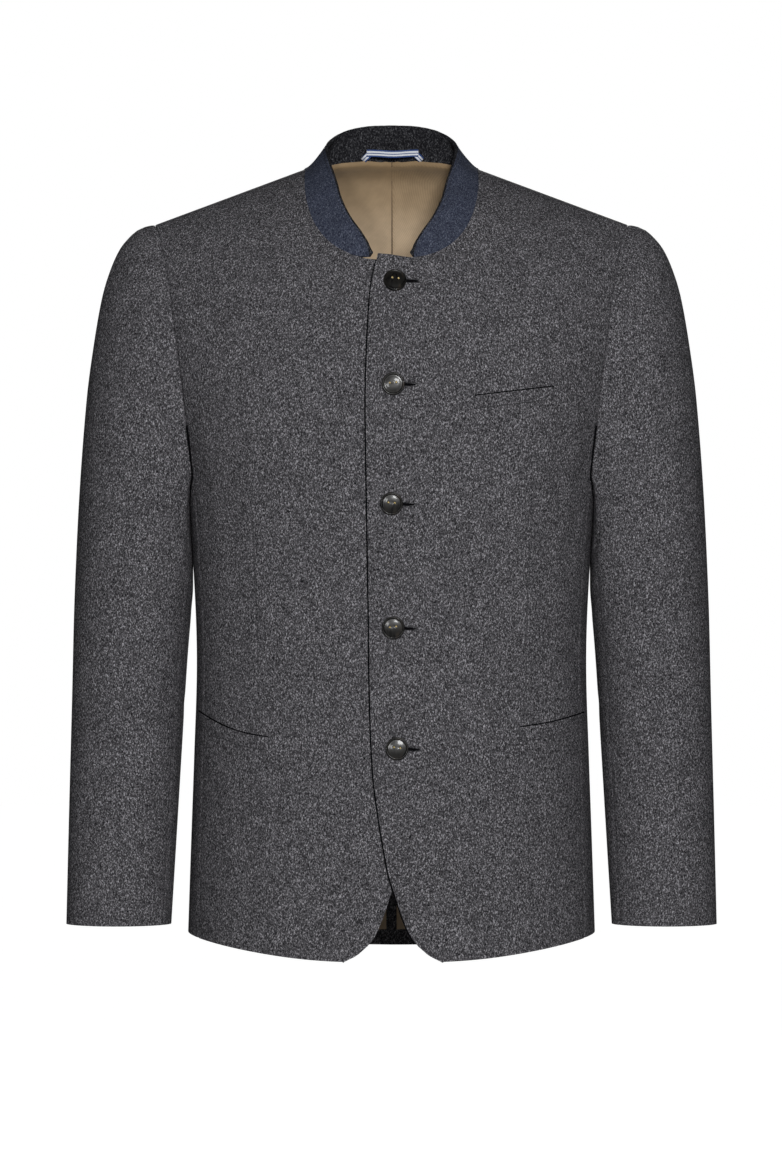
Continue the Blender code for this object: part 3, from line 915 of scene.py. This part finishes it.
def sleeve_ellipse(down, round_):
    """A plain section of the sleeve, `down` its length."""
    top_out, top_in, cuff = SLEEVE_OUT[-1][0], SLEEVE_IN[-1][0], SLEEVE_OUT[0][0]
    z_out = top_out + (cuff - top_out) * down
    z_in = top_in + (cuff - top_in) * down
    outside = Vector((read(SLEEVE_OUT, z_out, 1), 0, z_out))
    inside = Vector((read(SLEEVE_IN, z_in, 1), 0, z_in))
    half_depth, forward = read(SLEEVE_DEPTH, down, 1), read(SLEEVE_DEPTH, down, 2)
    a = radians(round_)
    point = (outside + inside) / 2 + (outside - inside) / 2 * cos(a)
    point.y = -forward - half_depth * sin(a)
    return point


def sleeve_point(down, round_):
    fade = max(1 - down / SLEEVE_HEAD, 0.0) ** 2
    seam = armhole_point(round_ % 360)
    return sleeve_ellipse(down, round_) + (seam - sleeve_ellipse(0.0, round_)) * fade


def sleeve_middle(down):
    return (sleeve_ellipse(down, 0.0) + sleeve_ellipse(down, 180.0)) / 2


def sleeve_crease(down, round_):
    depth = 0.0
    for at, level, half_round, half_length, deep, lean in SLEEVE_CREASES:
        apart = (round_ - at + 180) % 360 - 180
        across = down - level - lean * apart
        if half_length > 0.1:
            depth += deep * exp(-((apart / half_round) ** 2)) * smooth(1.4 - abs(across) / half_length)
        else:
            depth += deep * exp(-((across / half_length) ** 2)) * smooth(1.4 - abs(apart) / half_round)
    return depth


def sleeve_grid(first, last):
    """One cut piece of the sleeve. Its head turns in under the body's armhole edge."""
    grid = []
    width = (last - first) * 0.92
    for share in shares(width, EDGE_STEPS, 6.0):
        round_ = first + (last - first) * share
        seam = sleeve_point(0.0, round_)
        below = (sleeve_middle(0.0) - seam).normalized()
        past = (seam - sleeve_point(0.02, round_)).normalized()
        turned = seam + below * TURN_IN
        grid.append([turned + past * TURN_IN, turned])
        for place in shares(SLEEVE_LONG, EDGE_STEPS, 7.5):
            down = place ** 1.25
            point = sleeve_point(down, round_)
            inward = (sleeve_middle(down) - point).normalized()
            edge = min(share, 1 - share) * width
            sink = sleeve_crease(down, round_) + seam_dip(edge) + 1.2 * seam_dip(place * SLEEVE_LONG)
            grid[-1].append(point + inward * sink)
    return grid


def add_sleeves():
    for name, first, last in (
        ("top_sleeve", BACK_SLEEVE_SEAM - 360, FRONT_SLEEVE_SEAM),
        ("under_sleeve", FRONT_SLEEVE_SEAM, BACK_SLEEVE_SEAM),
    ):
        grid = sleeve_grid(first, last)
        cloth_pair(name, (grid, grid), CLOTH, LODEN, "loden", sleeve_middle(0.5))


# ---- collar

def neck_seam(share):
    """The collar seam on one side, from the front end at 0 to the centre back at 1."""
    if share < 0.5:
        start = degrees(asin((COLLAR_FRONT_X / NECK_X) ** (NECK_POWER / 2)))
        a = radians(start + (90 - start) * share * 2)
        x = NECK_X * sin(a) ** (2 / NECK_POWER)
        z = neck_z(x)
        return body_point(turn_at(x, z), z)
    x = NECK_X * cos(radians((share - 0.5) * 180))
    z = back_neck_z(x)
    return body_point(180 - turn_at(x, z), z)


def collar_point(share, up):
    """The collar, `up` its height. `share` runs from 0 at the left end to 2 at the right end."""
    half = share if share <= 1 else 2 - share
    low = neck_seam(half) + Vector((0, 0, 0.3))
    point = low.lerp(Vector([read(COLLAR_TOP, half, column) for column in (1, 2, 3)]), up)
    point.y += 1.5 * sin(pi * up) * (1 if half > 0.5 else -1) * sin(pi * half)
    return point if share <= 1 else Vector((-point.x, point.y, point.z))


def collar_normal(share, up):
    a, b = max(share - 0.02, 0.0), min(share + 0.02, 2.0)
    along = collar_point(b, up) - collar_point(a, up)
    across = collar_point(share, min(up + 0.1, 1.0)) - collar_point(share, max(up - 0.1, 0.0))
    normal = along.cross(across).normalized()
    point = collar_point(share, up)
    return normal if normal.dot(point - Vector((0, -25.0, point.z))) > 0 else -normal


def collar_grid(offset, start, tuck):
    """One layer of the collar, with its lower edge tucked down behind the neck seam."""
    grid = []
    for k in range(161):
        share = start + (2 - 2 * start) * k / 160
        low = -0.10 if tuck else -0.24
        grid.append([collar_point(share, low) - collar_normal(share, 0.0) * (offset + tuck)])
        for up in shares(COLLAR_HIGH, (0.0, 0.7, 1.5, 2.5, 3.6), 2.6):
            groove = 0.35 * exp(-(((1 - up) * COLLAR_HIGH - 3.2) / 0.7) ** 2)
            ripple = 0.25 * sin(share * 31.0) * sin(pi * up)
            grid[-1].append(collar_point(share, up) - collar_normal(share, up) * (offset + groove + ripple))
    return grid


def collar_end(share, beside, ups, inset):
    """The short free edge at one end of the collar."""
    for up in ups:
        at = collar_point(share, up)
        across = (at - collar_point(beside, up)).normalized()
        yield at - across * inset, collar_normal(share, up), across


def collar_edge(inset, count=200):
    """Points, normals and upward directions along the collar's free edge, `inset` inside it."""
    end_up = 1 - inset / COLLAR_HIGH
    ups = [end_up * k / 12 for k in range(12)]
    found = list(collar_end(0.0, 0.03, ups, inset))
    least = inset / COLLAR_HALF_LONG
    for k in range(count + 1):
        share = clamp(2 * k / count, least, 2 - least)
        at = collar_point(share, end_up)
        found.append((at, collar_normal(share, 1.0), (at - collar_point(share, 0.6)).normalized()))
    return found + list(collar_end(2.0, 1.97, ups[::-1], inset))


def add_collar():
    middle = (0.0, -25.0, -15.0)
    outer_grid = collar_grid(0.0, 0.0, 1.2)
    cloth("felt_collar", "collar_outer", outer_grid, COLLAR_CLOTH, NAVY, middle)
    inner_grid = collar_grid(COLLAR_CLOTH + 0.3, 0.004, 0.0)
    cloth("loden_collar_lining", "collar_inner", inner_grid, COLLAR_CLOTH, DARK_LODEN, middle)
    ring = []
    for point, normal, out in collar_edge(0.0):
        centre = point - normal * (COLLAR_CLOTH + 0.15)
        for k in range(10):
            a = 2 * pi * k / 10
            lump = 1 + 0.05 * sin(point.x * 0.9 + point.z * 0.7)
            ring.append(centre + out * (0.35 + 1.25 * lump * sin(a)) + normal * (1.95 * cos(a)))
    tube("collar_rolled_edge", ring, 10, DARK_LODEN)
    line = [(point + normal * 0.02, normal) for point, normal, out in collar_edge(3.2)]
    stitch_row("collar_topstitch", line, 2.3, 1.2, 0.24, DARK_THREAD)


# ---- small sewn pieces

def shell_piece(name, verts, faces, finish, smooth_faces=True):
    """A piece made of closed shells, whose normals all point outwards."""
    mesh = bpy.data.meshes.new(name)
    mesh.from_pydata([p * MM for p in verts], [], faces)
    mesh.validate()
    if smooth_faces:
        mesh.shade_smooth()
    mesh.materials.append(finish)
    bm = bmesh.new()
    bm.from_mesh(mesh)
    bmesh.ops.recalc_face_normals(bm, faces=bm.faces)
    bm.to_mesh(mesh)
    bm.free()
    return finish_piece(link(bpy.data.objects.new(name, mesh)))


def tube_faces(first, rings, sides):
    """Faces of a closed tube whose rings of points start at `first`."""
    last = first + (rings - 1) * sides
    faces = [[first + k for k in range(sides)][::-1], [last + k for k in range(sides)]]
    for ring in range(first, last, sides):
        for k in range(sides):
            a, b = ring + k, ring + (k + 1) % sides
            faces.append([a, b, b + sides, a + sides])
    return faces


def tube(name, points, sides, finish, smooth_faces=True):
    """A closed tube through rings of points."""
    faces = tube_faces(0, len(points) // sides, sides)
    return shell_piece(name, points, faces, finish, smooth_faces)


def walk(line, length, gap):
    """Places of stitches along a line of (point, normal): centre, direction and normal of each."""
    reach, found = 0.0, []
    next_at = length / 2
    for (a, na), (b, nb) in zip(line, line[1:]):
        span = (b - a).length
        while span > 0 and next_at <= reach + span:
            share = (next_at - reach) / span
            found.append((a.lerp(b, share), (b - a).normalized(), na.lerp(nb, share).normalized()))
            next_at += length + gap
        reach += span
    return found


# share along the stitch, thickness and height in its radii
STITCH = (
    (-0.5, 0.15, -1.2),
    (-0.36, 0.8, -0.2),
    (0.0, 1.0, 0.25),
    (0.36, 0.8, -0.2),
    (0.5, 0.15, -1.2),
)


def stitch_row(name, line, length, gap, radius, finish, turn=0.0):
    """Small rounded stitches in a row, each with its ends pulled down into the cloth."""
    verts, faces = [], []
    for number, (centre, along, normal) in enumerate(walk(line, length, gap)):
        side = normal.cross(along).normalized()
        lean = turn + 0.06 * sin(number * 2.7)
        way = (along * cos(lean) + side * sin(lean)).normalized()
        side = normal.cross(way).normalized()
        first = len(verts)
        for place, wide, lift in STITCH:
            middle = centre + way * (place * length) + normal * (lift * radius)
            for k in range(5):
                a = 2 * pi * k / 5
                verts.append(middle + (side * cos(a) + normal * sin(a)) * (radius * wide))
        faces += tube_faces(first, len(STITCH), 5)
    shell_piece(name, verts, faces, finish)


def on_front(x, z, lift=0.0):
    """The front's outer face and its normal, with its soft creases."""
    turn = turn_at(x, z)
    normal = body_normal(turn, z)
    return body_point(turn, z) + normal * (lift - body_crease(turn, z)), normal


def edge_line(inset, low, high, step=3.0):
    """A line that runs down the lapping front `inset` inside its free edge."""
    found = []
    count = int((high - low) / step)
    for k in range(count + 1):
        z = high + (low - high) * k / count
        slope = (read(FRONT_EDGE, z + 1, 1) - read(FRONT_EDGE, z - 1, 1)) / 2
        side = (1 + slope * slope) ** 0.5
        found.append(on_front(read(FRONT_EDGE, z, 1) + inset / side, z - slope * inset / side, 0.05))
    return found


def welt(name, node, ends, height, bow, left):
    """A narrow pocket welt: its upper edge stands free of the cloth, its lower edge is sewn down."""
    (x0, z0), (x1, z1) = ends
    length = ((x1 - x0) ** 2 + (z1 - z0) ** 2) ** 0.5
    grid = []
    for share in shares(length, WELT_STEPS, 2.5):
        x = x0 + (x1 - x0) * share
        top = z0 + (z1 - z0) * share - bow * sin(pi * share)
        held_down = smooth(0.25 + min(share, 1 - share) * length / 3.0)
        grid.append([])
        for up in shares(height, WELT_STEPS, 1.6):
            below_top = (1 - up) * height
            lift = WELT_PROUD * held_down * (0.40 + 0.60 * smooth(up * 1.3))
            lift -= 0.28 * exp(-((below_top - 2.4) / 0.7) ** 2)
            lift += 0.18 * sin(x * 0.21) * sin(pi * up)
            grid[-1].append(on_front(x, top - below_top, lift)[0])
    sheet = grid if left else mirrored(grid)
    cloth(name, node, sheet, 1.0, LODEN, BODY_MIDDLE, turned=0.3)


WELT_PROUD = 1.25
WELT_STEPS = (0.0, 0.6, 1.4, 2.6)
# name, node, ends of the upper edge as (x, z), height, bow, on the wearer's left
POCKETS = (
    ("breast", "breast_welt", ((76.0, -220.0), (150.0, -210.5)), 11.5, 0.0, True),
    ("hip_left", "hip_welt_left", ((118.0, -525.0), (180.0, -513.0)), 13.0, 1.5, True),
    ("hip_right", "hip_welt_right", ((113.5, -534.0), (180.0, -512.0)), 12.0, 4.6, False),
)


def on_side(point, normal, left):
    """Carries a place on the wearer's left over to the right where it isn't `left`."""
    if not left:
        point.x, normal.x = -point.x, -normal.x
    return point, normal


def front_line(ends, left, count=31, bow=0.0):
    """A line on the front between two (x, z) places, sagging by `bow` at its middle."""
    (x0, z0), (x1, z1) = ends
    line = []
    for k in range(count):
        share = k / (count - 1)
        z = z0 + (z1 - z0) * share - bow * sin(pi * share)
        line.append(on_side(*on_front(x0 + (x1 - x0) * share, z), left))
    return line


def add_pockets():
    for name, node, ends, height, bow, left in POCKETS:
        welt(f"loden_{name}_welt", node, ends, height, bow, left)
        (x0, z0), (x1, z1) = ends
        above = ((x0 + 0.4, z0 + 0.4), (x1 - 0.4, z1 + 0.4))
        below = ((x0 + 0.4, z0 - height - 0.1), (x1 - 0.4, z1 - height - 0.1))
        inner = ((x0 - 0.1, z0), (x0 - 0.1, z0 - height))
        for part, line, sag, radius, sink, finish in (
            # The pocket mouth is painted shadow: a near black tube under each welt's free upper edge.
            ("pocket_mouth_shadow", above, bow, 0.75, -0.35, SHADOW),
            ("welt_seam", below, bow, 0.42, -0.10, DARK_THREAD),
            ("welt_end", inner, 0.0, 0.40, -0.10, DARK_THREAD),
        ):
            dark_line(f"{name}_{part}", front_line(line, left, bow=sag), radius, sink, finish)


def add_darts():
    low, high = DART
    turn_of = between(front_ends(False), DART_SHARE)
    for side in ("left", "right"):
        line = []
        for k in range(60):
            z = low + 8.0 + (high - low - 16.0) * k / 59
            turn = turn_of(z)
            normal = body_normal(turn, z)
            sink = body_crease(turn, z) + dart_dip(DART_SHARE, z) + 0.12
            line.append(on_side(body_point(turn, z) - normal * sink, normal, side == "left"))
        dark_line(f"dart_seam_{side}", line, 0.30, 0.0, DARK_THREAD)


# ---- hanger loop

LOOP_LEGS = ((-30.5, -21.0), (32.5, 23.0))       # x of each leg's foot and of its upper end
LOOP_FOOT, LOOP_RISE = 6.0, 9.0                  # level of the feet, and how far the legs rise
LOOP_LEVEL = 16.0                                # level of the run between the legs
LOOP_START, LOOP_LONG = -23.5, 49.0
LEG_HALF_WIDE = 3.0


def tape_run(number, line, half):
    """A flat tape along a line of points, five points wide, with its face to the front."""
    grid = []
    for k, at in enumerate(line):
        ahead = line[min(k + 1, len(line) - 1)] - line[max(k - 1, 0)]
        side = Vector((-ahead.z, 0, ahead.x)).normalized()
        grid.append([at + side * (half * s) for s in (-1, -0.5, 0, 0.5, 1)])
    part = grid_object(f"tape_run_{number}", grid, TAPE)
    if part.data.polygons[0].normal.y > 0:
        part.data.flip_normals()
    return part


def add_hanger_loop():
    """A woven tape: a level run folded over two short legs that go into the collar seam."""
    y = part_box("hanger_loop")[0][1] / MM + 0.2
    runs = []
    for number, (foot, knee) in enumerate(LOOP_LEGS):
        leg = []
        for share in [k / 8 for k in range(9)]:
            depth = y + 11.0 - 9.9 * smooth(share * 1.6)
            leg.append(Vector((foot + (knee - foot) * share, depth, LOOP_FOOT + LOOP_RISE * share)))
        runs.append(tape_run(number, leg, LEG_HALF_WIDE))
    level = []
    for share in [k / 24 for k in range(25)]:
        sag = 0.7 * sin(pi * share) - 0.25 * sin(share * 9.0)
        level.append(Vector((LOOP_START + LOOP_LONG * share, y, LOOP_LEVEL - sag)))
    runs.append(tape_run(len(runs), level, TAPE_WIDE / 2))
    select_only(*runs)
    bpy.ops.object.join()
    tape = runs[0]
    tape.name = tape.data.name = "woven_hanger_loop"
    add_wall(tape, 0.8)
    add_rounding(tape, 0.25, 2)
    apply_modifiers(tape)
    tape.data.shade_smooth()
    finish_piece(tape, "hanger_loop")


# ---- buttons

BUTTON_THICK = 2.2
THREAD_HOLE_X, THREAD_HOLE_Z, THREAD_HOLE_R = 2.9, 0.9, 1.15
# inset and rise of each step from the edge inwards
BUTTON_FACE = (
    (0.35, 0.55),
    (0.45, 0.25),
    (0.6, 0.0),
    (0.6, -0.35),
    (0.5, -0.35),
    (1.4, 0.22),
    (2.2, 0.24),
    (2.2, 0.08),
)
BUTTON_BACK = ((0.6, 0.5), (1.2, 0.5), (4.5, 0.2))


def inset_face(button, side, steps):
    """Insets the flat face on one side of a button that is in edit mode."""
    bpy.ops.mesh.select_all(action="DESELECT")
    bm = bmesh.from_edit_mesh(button.data)
    for face in bm.faces:
        face.select_set(face.normal.z * side > 0.9)
    bmesh.update_edit_mesh(button.data)
    for inset, rise in steps:
        bpy.ops.mesh.inset(thickness=inset * MM, depth=rise * MM)


def shaped_button():
    """A turned horn button, built flat at the origin with its face along +Z, in metres."""
    bpy.ops.object.select_all(action="DESELECT")
    bpy.ops.mesh.primitive_cylinder_add(vertices=64, radius=BUTTON_R * MM, depth=BUTTON_THICK * MM,
                                        location=(0, 0, 2.3 * MM))
    button = bpy.context.object
    button.data.materials.append(HORN)
    bpy.ops.object.mode_set(mode="EDIT")
    bpy.ops.mesh.select_mode(type="FACE")
    inset_face(button, 1, BUTTON_FACE)
    inset_face(button, -1, BUTTON_BACK)
    bpy.ops.object.mode_set(mode="OBJECT")
    for side in (-1, 1):
        bpy.ops.object.select_all(action="DESELECT")
        hole_at = (side * THREAD_HOLE_X * MM, THREAD_HOLE_Z * MM, 2.0 * MM)
        bpy.ops.mesh.primitive_cylinder_add(vertices=20, radius=THREAD_HOLE_R * MM, depth=12 * MM,
                                            location=hole_at)
        drill = bpy.context.object
        cut = button.modifiers.new("hole", "BOOLEAN")
        cut.operation = "DIFFERENCE"
        cut.solver = "EXACT"
        cut.object = drill
        apply_modifiers(button)
        bpy.data.objects.remove(drill, do_unlink=True)
    add_rounding(button, 0.28, 3, 38)
    apply_modifiers(button)
    button.data.shade_smooth()
    return button


def placed_copy(source, name, at, turn_to, node=None):
    """A copy of a flat-built piece with its own mesh, moved and turned there in its mesh."""
    copy = source.copy()
    copy.data = source.data.copy()
    copy.name = copy.data.name = name
    link(copy)
    copy.location = at * MM
    copy.rotation_euler = turn_to
    select_only(copy)
    bpy.ops.object.transform_apply(location=True, rotation=True, scale=True)
    return finish_piece(copy, node)


def thread_plug():
    """The sewing thread that shows in a button's two holes."""
    bpy.ops.object.select_all(action="DESELECT")
    made = []
    for side in (-1, 1):
        for dx, dy, tall in ((-0.3, 0.1, 0.0), (0.35, -0.15, -0.1), (0.0, 0.35, 0.1)):
            at = (side * THREAD_HOLE_X + dx, THREAD_HOLE_Z + dy, 3.05 + tall)
            bpy.ops.mesh.primitive_uv_sphere_add(segments=12, ring_count=8, radius=0.72 * MM,
                                                 location=Vector(at) * MM)
            bpy.ops.transform.resize(value=(0.95, 0.8, 1.4))
            made.append(bpy.context.object)
    select_only(*made)
    bpy.ops.object.join()
    bpy.ops.object.transform_apply(location=True, rotation=True, scale=True)
    made[0].data.materials.append(TAN_THREAD)
    made[0].data.shade_smooth()
    return made[0]


BUTTON_TURNS = (-7.0, 5.0, -4.0, 8.0, -6.0)      # degrees that each button has turned on its thread


def add_buttons():
    button, thread = shaped_button(), thread_plug()
    for number, (z, x) in enumerate(BUTTONS, 1):
        point, normal = on_front(x, z, 0.6)
        lean = Euler((0, 0, radians(BUTTON_TURNS[number - 1])))
        turn_to = (normal.to_track_quat("Z", "Y") @ lean.to_quaternion()).to_euler()
        placed_copy(button, f"horn_button_{number}", point, turn_to, f"button_{number}")
        placed_copy(thread, f"button_thread_{number}", point, turn_to)
        add_buttonhole(number, x, z)
    for source in (button, thread):
        bpy.data.objects.remove(source, do_unlink=True)


BUTTONHOLE_NEAR = -2.0       # where a slit starts beside its button's middle
BUTTONHOLE_FAR = 21.5
BUTTONHOLE_FALL = -0.045     # slope of each buttonhole
SLIT_STEPS = 24
SLIT_TOP, SLIT_BOTTOM = 1.15, -0.5
STITCH_LIFT = 0.45


def add_buttonhole(number, x, z):
    """A worked buttonhole: a slit, drawn as a near black strip of painted shadow, between two rows of close
    stitches, with a bar at its end.
    """

    def place(along, aside, lift):
        return on_front(x + along, z + BUTTONHOLE_FALL * along + aside, lift)

    # The slit is painted shadow: a thin near black strip laid on the front, not a cut through it.
    ring = []
    for share in [k / SLIT_STEPS for k in range(SLIT_STEPS + 1)]:
        along = BUTTONHOLE_NEAR + (BUTTONHOLE_FAR - 0.6 - BUTTONHOLE_NEAR) * share
        half = 1.1 * sin(pi * clamp(share, 0.02, 0.98)) ** 0.3
        for s, lift in ((-1, SLIT_TOP), (1, SLIT_TOP), (1, SLIT_BOTTOM), (-1, SLIT_BOTTOM)):
            ring.append(place(along, s * half, lift)[0])
    tube(f"buttonhole_slit_shadow_{number}", ring, 4, SHADOW, smooth_faces=False)
    alongs = [-1.5 + (BUTTONHOLE_FAR + 1.5) * k / 30 for k in range(31)]
    lower, upper = [[place(along, s * 1.45, STITCH_LIFT) for along in alongs] for s in (-1, 1)]
    end_x, end_z = x + BUTTONHOLE_FAR, z + BUTTONHOLE_FALL * BUTTONHOLE_FAR
    bar = [on_front(end_x + 0.9 * cos(a), end_z + 1.2 * sin(a), STITCH_LIFT)
           for a in (-1.57, -0.8, 0.0, 0.8, 1.57)]
    row = lower + bar + upper[::-1]
    stitch_row(f"buttonhole_stitches_{number}", row, 0.62, 0.0, 0.36, DARK_THREAD, turn=pi / 2)


TO_FRONT = Vector((0, -1, 0))


def dark_line(name, line, radius, sink, finish):
    """A tube along a line: in the near black shadow finish it is painted shadow in the deep narrow fold
    where one edge lies on the cloth beneath it, and in a thread finish it is a seam.
    """
    ring = []
    for k, (point, normal) in enumerate(line):
        ahead = line[min(k + 1, len(line) - 1)][0] - line[max(k - 1, 0)][0]
        side = normal.cross(ahead).normalized()
        for j in range(6):
            a = 2 * pi * j / 6
            ring.append(point - normal * sink + (side * cos(a) + normal * sin(a)) * radius)
    tube(name, ring, 6, finish)


def add_topstitching():
    """Stitches along the lapping front's edge and the lining's centre seam, and a painted shadow line
    beside the lapping front's edge.
    """
    # Painted shadow: a near black tube sunk under the lapping front's edge, where its fold lies on the
    # front beneath.
    dark_line("lap_edge_shadow", edge_line(-0.55, -722.0, -93.0), 0.80, 1.4, SHADOW)
    edge = edge_line(3.0, -731.0, -100.0)
    stitch_row("front_edge_topstitch", edge, 2.3, 1.2, 0.2, DARK_THREAD)
    inside = -LINING - 0.2
    seam = [(Vector((0.6, point.y + inside, point.z)), TO_FRONT)
            for point in reversed(lining_grid()[-1]) if point.z > -330.0]
    dark_line("lining_centre_seam", seam, 0.60, 0.0, BROWN_THREAD)
    stitches = [(point + 0.3 * normal, normal) for point, normal in seam if point.z > -120.0]
    stitch_row("lining_prick_stitches", stitches, 1.0, 2.6, 0.40, DARK_THREAD)


UNDERARM = (116.0, 176.0)    # where the painted shadow starts and ends round the armhole, 180 lowest


def add_armpit_shadows():
    """A painted shadow: a near black tube in the deep shade where each sleeve is set against the body under
    the arm.
    """
    first, last = UNDERARM
    for s, side in ((1, "left"), (-1, "right")):
        line = []
        for k in range(41):
            point = armhole_point(first + (last - first) * k / 40)
            line.append((Vector((s * (point.x - 1.1), point.y - 2.2, point.z)), TO_FRONT))
        dark_line(f"underarm_shadow_tube_{side}", line, 1.25, 0.0, SHADOW)


# ---- stage and ending

CAMERA_FAR, CAMERA_LEVEL, SHOWN_HEIGHT = 4.8, -0.396, 1.1085
FILM = 36.0
FLOOR_LEVEL = -1.25
LIT_POINT = Vector((0, 0, -0.4))
# name, place, width and height in metres, power
LIGHTS = (
    ("front_softbox", (0.5, -4.2, 0.5), 0.6, 0.6, 112.0),
    ("left_front_softbox", (-0.75, -4.2, -0.1), 0.4, 0.5, 30.0),
    ("back_softbox", (0.3, 3.8, 0.9), 1.4, 1.4, 96.0),
    ("left_back_softbox", (2.4, 3.2, 0.7), 1.0, 1.4, 6.0),
    ("right_back_softbox", (-2.4, 3.2, 0.7), 1.0, 1.4, 6.0),
)


def add_camera():
    """Level with the waist, far enough off for a long lens."""
    data = bpy.data.cameras.new("camera")
    data.sensor_fit = "VERTICAL"
    data.sensor_height = FILM
    data.lens = FILM * CAMERA_FAR / SHOWN_HEIGHT
    data.clip_end = 60.0
    camera = link(bpy.data.objects.new("camera", data))
    camera.location = (-0.0005, -CAMERA_FAR, CAMERA_LEVEL)
    camera.rotation_euler = (radians(90), 0, 0)
    bpy.context.scene.camera = camera


def add_lights():
    for name, place, width, height, energy in LIGHTS:
        data = bpy.data.lights.new(name, "AREA")
        data.shape = "RECTANGLE"
        data.size, data.size_y = width, height
        data.energy = energy
        light = link(bpy.data.objects.new(name, data))
        light.location = place
        light.rotation_euler = (LIT_POINT - Vector(place)).to_track_quat("-Z", "Y").to_euler()


def camera_ray(tree):
    return tree.nodes.new("ShaderNodeLightPath").outputs["Is Camera Ray"]


def add_stage():
    """A floor and a backdrop that look white and throw little light on the cloth."""
    bpy.ops.object.select_all(action="DESELECT")
    bpy.ops.mesh.primitive_plane_add(size=30, location=(0, 0, FLOOR_LEVEL))
    floor = bpy.context.object
    floor.name = "floor"
    material, tree, shader = new_material("pale_floor", Roughness=0.9, Base_Color=(0.12, 0.12, 0.12, 1),
                                          Emission_Color=(1, 1, 1, 1))
    tree.links.new(maths(tree, "MULTIPLY", camera_ray(tree), 1.0), shader.inputs["Emission Strength"])
    floor.data.materials.append(material)
    world = bpy.data.worlds.new("studio")
    bpy.context.scene.world = world
    world.use_nodes = True
    tree = world.node_tree
    strength = maths(tree, "MULTIPLY_ADD", camera_ray(tree), 0.985)
    strength.node.inputs[2].default_value = 0.015
    set_inputs(tree, tree.nodes["Background"], {"Color": (1, 1, 1, 1), "Strength": strength})
    add_lights()
    bpy.context.scene.view_settings.view_transform = "Standard"


add_camera()
add_stage()
add_body()
add_sleeves()
add_collar()
add_pockets()
add_darts()
add_hanger_loop()
add_buttons()
add_topstitching()
add_armpit_shadows()
